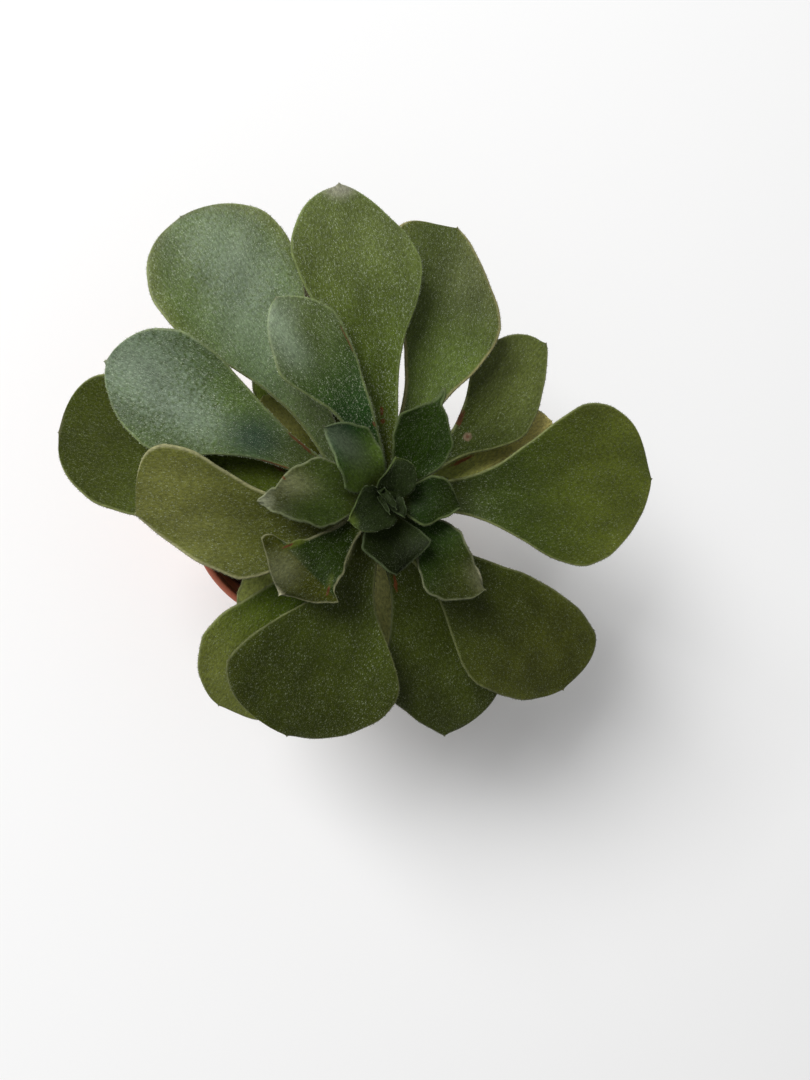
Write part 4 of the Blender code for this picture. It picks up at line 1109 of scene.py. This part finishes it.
OUTER_LOOKS = {
    # leaf_14 and leaf_19 carry painted highlights where their skin faces the light.
    "leaf_14": Look((0.063, 0.101, 0.020), (0.029, 0.058, 0.001), 0.8, (0.150, 0.190, 0.070), gloss=0.3,
                    marks=(Mark(74, -3, 15, 11, 0, PAINTED_HIGHLIGHT, 0.52, 0.9, 2.8),
                           Mark(54, 3, 10, 6, 0, PAINTED_HIGHLIGHT, 0.42, 0.9, 2.8),
                           Mark(22, 0, 9, 7, 0, (0.042, 0.052, 0.010), 0.60, 0.9),
                           Mark(36, 0.5, 7, 6, 8, TEAL_SHADE, 0.75, 0.9),
                           Mark(28.0, 4.8, 4.5, 0.35, 11, SCAR_RED, 0.8, 0.4, 2.0),
                           Mark(23.5, -4.8, 5.0, 0.38, -12, SCAR_RED, 0.85, 0.4, 2.2))),
    "leaf_15": Look((0.076, 0.112, 0.018), (0.053, 0.070, 0.013), 0.38, (0.270, 0.245, 0.110), 0.4, rim=1.5,
                    marks=(Mark(74, -9, 14, 9, 0, (0.110, 0.120, 0.055), 0.38, 0.9, 2.0),)),
    "leaf_16": Look((0.035, 0.048, 0.003), (0.030, 0.040, 0.002), 0.4, (0.070, 0.080, 0.030),
                    marks=(Mark(23.5, -5.3, 2.8, 0.60, -22, (0.170, 0.042, 0.014), 0.8, 0.4, 2.2),)),
    "leaf_17": Look((0.023, 0.035, 0.001), (0.079, 0.098, 0.020), 0.4,
                    marks=(Mark(38.0, 5.6, 2.8, 1.2, 33, SCAR_BROWN_RED, 0.95, 0.3, 1.5),
                           Mark(35.7, -1.0, 1.5, 1.4, 0, PALE_SCAR, 0.8, 0.3, 0.5),
                           Mark(35.7, -1.0, 0.6, 0.6, 0, SCAR_BROWN_RED, 0.7, 0.5, 0.5))),
    "leaf_18": Look((0.049, 0.082, 0.001), (0.118, 0.136, 0.025), 0.4, warm=0.3),
    "leaf_19": Look((0.104, 0.160, 0.058), (0.064, 0.100, 0.014), 0.9, (0.190, 0.220, 0.080), 0.5, 0.3,
                    marks=(Mark(78, -6, 16, 9, 15, PAINTED_HIGHLIGHT, 0.42, 0.9, 2.8),
                           Mark(60, 2, 16, 8, 0, PAINTED_HIGHLIGHT, 0.34, 0.9, 2.8),
                           Mark(28, 0, 12, 7, 0, (0.050, 0.062, 0.012), 0.60, 0.9))),
    "leaf_20": Look((0.064, 0.090, 0.007), (0.029, 0.038, 0.001), 0.22, gloss=0.05,
                    marks=(Mark(24.0, -3.7, 2.2, 0.5, -20, SCAR_RED, 0.8, 0.4, 2.0),)),
}
OUTER_PALER = ("leaf_14", "leaf_15", "leaf_19")
grow_ring(OUTER_LEAVES, OUTER_LOOKS, dark_down, 21, paler=OUTER_PALER)

# Old and low leaves
# Six leaves at the bottom of the rosette, shaded by the rest. They have lost some of their green, and
# one is only a thin strap. Their colours are painted paler still, as painted light that makes up for
# the shade the rest cast on them.
LOW_LEAVES = [
    Leaf("leaf_21", (0.0877, 12), (24, 0.0729, 0.0920), (16, -10),
         (0.0130, 0.66, 2.0, 2.0), (0.0130, 0.66, 2.0, 2.0), cusp=0.0030),
    Leaf("leaf_22", (0.0877, -82), (-82, 0.0560, 0.0800), (6, -20),
         (0.0130, 0.62, 2.0, 1.2), (0.0115, 0.66, 2.0, 1.8), cusp=0.0030),
    Leaf("leaf_23", (0.0910, -147), (-135, 0.0545, 0.0800), (8, -20),
         (0.0120, 0.66, 2.0, 2.0), (0.0080, 0.70, 2.4, 2.0), cusp=0.0030),
    Leaf("leaf_24", (0.0910, 140), (135, 0.0479, 0.0920), (14, -10),
         (0.0110, 0.66, 2.0, 2.0), (0.0110, 0.66, 2.0, 2.0), cusp=0.0030),
    Leaf("leaf_25", (0.0877, 108), (105, 0.0850, 0.0880), (6, -8),
         (0.0110, 0.66, 2.0, 2.0), (0.0110, 0.66, 2.0, 2.0), cusp=0.0030),
    Leaf("leaf_26", (0.0844, 150), (125, 0.0615, 0.0850), (10, -10),
         (0.0028, 0.66, 2.0, 2.0), (0.0028, 0.66, 2.0, 2.0), aim=92, neck=0.0022, cusp=0.0012),
]
# The pale greens of these low leaves, palest on leaf_21, leaf_22 and leaf_23, are partly painted light:
# raised above a leaf's own colour to make up for the deep shade they lie in.
LOW_LOOKS = {
    "leaf_21": Look((0.288, 0.323, 0.066), (0.550, 0.475, 0.151), 0.4,
                    marks=(Mark(36.0, 2.8, 4.0, 0.6, 0, (0.280, 0.080, 0.030), 0.9, 0.4, 2.2),)),
    "leaf_22": Look((0.550, 0.531, 0.206), (0.453, 0.435, 0.177), 0.3),
    "leaf_23": Look((0.285, 0.319, 0.081), (0.287, 0.320, 0.081), 0.4),
    "leaf_24": Look((0.066, 0.078, 0.002), (0.286, 0.277, 0.075), 0.3),
    "leaf_25": Look((0.075, 0.085, 0.020), (0.190, 0.160, 0.080), 0.3),
    "leaf_26": Look((0.286, 0.373, 0.066), (0.286, 0.373, 0.066), 0.3),
}
grow_ring(LOW_LEAVES, LOW_LOOKS, dark_down, 31)

# Growing tip
# The bud in the middle of the rosette: tiny cupped leaves wrapped round a dome of new growth, with
# the youngest still folded shut between them. All are dark green and thick with down.
BUD_BASE = 0.1208
BUD_RADIUS = 0.0036
BUD_HEIGHT = 0.0042
BUD_STALK = 0.0010
BUD_HAIR = 0.00036

# The dome is coloured as a leaf is halfway along, 5 mm from its margin.
DOME_SHARE = (0.5, 0.0, 5.0)

# Shapes shared by the tiny open leaves and by those still shut.
TINY = {"cup": (40, 34, 24), "neck": 0.0024, "thick": (0.0016, 0.0013), "point": 0.03, "cusp": 0.0007}
SHUT = {
    "cup": (50, 80, 60), "wave": 0.0, "neck": 0.0010, "thick": (0.0008, 0.0006),
    "point": 0.10, "cusp": 0.0004,
}
BUD_LEAVES = [
    Leaf("bud_1", (0.1229, -145), (-151, 0.0143, 0.1275), (66, -8),
         (0.0078, 0.28, 2.0, 0.6), (0.0068, 0.46, 1.05, 0.8), core=0.0018, **TINY),
    Leaf("bud_2", (0.1231, 60), (83, 0.0118, 0.1285), (68, 0),
         (0.0056, 0.34, 1.1, 0.8), (0.0068, 0.52, 1.9, 1.0), core=0.0018, **TINY),
    Leaf("bud_3", (0.1232, -30), (-54, 0.0074, 0.1272), (70, 0),
         (0.0028, 0.45, 1.4, 0.9), (0.0026, 0.45, 1.4, 0.9), core=0.0018, **TINY),
    Leaf("bud_4", (0.1250, 141), (-67, 0.0041, 0.1294), (84, 2),
         (0.0016, 0.50, 2.0, 0.6), (0.0016, 0.50, 2.0, 0.6), aim=-52, core=0.0030, **SHUT),
    Leaf("bud_5", (0.1240, 175), (-92, 0.0052, 0.1284), (84, 2),
         (0.0015, 0.50, 2.0, 0.6), (0.0015, 0.50, 2.0, 0.6), aim=-55, core=0.0022, **SHUT),
]
BUD_GREEN = (0.013, 0.021, 0.005)
LIME_EDGE = (0.095, 0.135, 0.020)
BUD_LOOK = Look(BUD_GREEN, BUD_GREEN, 0.03, (0.060, 0.085, 0.035), gloss=0.05,
                under=BUD_GREEN, rim=0.42, root=BUD_GREEN)
LIME_EDGED = Look(BUD_GREEN, BUD_GREEN, 0.02, (0.070, 0.095, 0.030), gloss=0.05,
                  marks=(Mark(14, 0, 2.0, 3.0, 0, LIME_EDGE, 0.6, 0.8),),
                  under=BUD_GREEN, rim=0.6, root=BUD_GREEN)


def bud_dome(rings=12, segments=36):
    """Points and faces of the dome that the tiny leaves wrap."""
    profile = [(0.0, BUD_BASE), (STEM_TIP_RADIUS - 0.0004, BUD_BASE)]
    for ring in range(rings):
        angle = 0.5 * math.pi * ring / rings
        profile.append((BUD_RADIUS * math.cos(angle), BUD_BASE + BUD_STALK + BUD_HEIGHT * math.sin(angle)))
    profile.append((0.0, BUD_BASE + BUD_STALK + BUD_HEIGHT))
    points, faces = turned(profile, segments)
    return [(x + ROSETTE_AXIS[0], y + ROSETTE_AXIS[1], z) for x, y, z in points], faces


dome_points, dome_faces = bud_dome()
bud_skin = leaf_finish("bud_skin", BUD_LOOK, 41)
lime_skin = leaf_finish("lime_edged_skin", LIME_EDGED, 42)
dome = shaped("bud_dome", dome_points, dome_faces, bud_skin, smooth_below=60)
tag(dome, "leaf_mm", [(1000 * x, 1000 * y, 1.0) for x, y, _ in dome_points])
tag(dome, "leaf_share", [DOME_SHARE] * len(dome_points))
settle(dome, "heart")
for seed, leaf in enumerate(BUD_LEAVES, 41):
    skin = lime_skin if leaf.name in ("bud_1", "bud_2") else bud_skin
    grow_leaf(leaf, skin, young_down, seed, hair=BUD_HAIR, node="heart")

# Floor, light and camera
# A plain white floor under one large soft light from the upper left, seen by a camera that looks
# almost straight down.
FLOOR_SIDE = 6.0
FLOOR_WHITE = 0.92
KEY_HEADING = 140
KEY_RISE = 42
KEY_DISTANCE = 3.0
KEY_SIDE = 1.6
KEY_POWER = 106.0
KEY_AIM = np.array([*ROSETTE_AXIS, 0.11])
SKY_STRENGTH = 0.33
CAMERA_PLACE = (-0.0355, -0.0100, 0.356)
CAMERA_TILT = -14
CAMERA_LENS = 27.03


def floor_finish():
    """Matt white, with a trace of cloud in it."""
    finish, shader = new_finish("floor_white", 0.9, specular=0.1)
    where = own_place(finish)
    span = {"To Min": FLOOR_WHITE - 0.01, "To Max": FLOOR_WHITE}
    tone = put(finish, "MapRange", {"Value": grain(finish, where, 3.0), **span})
    colour_shader(finish, shader, put(finish, "CombineColor", {0: tone, 1: tone, 2: tone}))
    return finish


half_floor = FLOOR_SIDE / 2
corners = [(x * half_floor, y * half_floor, 0.0) for x, y in ((-1, -1), (1, -1), (1, 1), (-1, 1))]
floor = shaped("floor", corners, [(0, 1, 2, 3)], floor_finish())

world = bpy.data.worlds.new("soft_sky")
world.use_nodes = True
sky = world.node_tree.nodes["Background"].inputs
sky["Color"].default_value = (1.0, 1.0, 1.0, 1.0)
sky["Strength"].default_value = SKY_STRENGTH
bpy.context.scene.world = world

key_data = bpy.data.lights.new("window_light", "AREA")
key_data.shape = "SQUARE"
key_data.size = KEY_SIDE
key_data.energy = KEY_POWER
key = bpy.data.objects.new("window_light", key_data)
bpy.context.scene.collection.objects.link(key)
key.location = KEY_AIM + KEY_DISTANCE * heading(KEY_HEADING, KEY_RISE)
key.rotation_mode = "QUATERNION"
key.rotation_quaternion = Vector(-heading(KEY_HEADING, KEY_RISE)).to_track_quat("-Z", "Y")

camera_data = bpy.data.cameras.new("camera")
camera_data.lens = CAMERA_LENS
camera_data.clip_start = 0.01
camera = bpy.data.objects.new("camera", camera_data)
camera.location = CAMERA_PLACE
camera.rotation_euler = (0.0, math.radians(CAMERA_TILT), 0.0)
bpy.context.scene.collection.objects.link(camera)
bpy.context.scene.camera = camera
bpy.context.scene.view_settings.view_transform = "Standard"
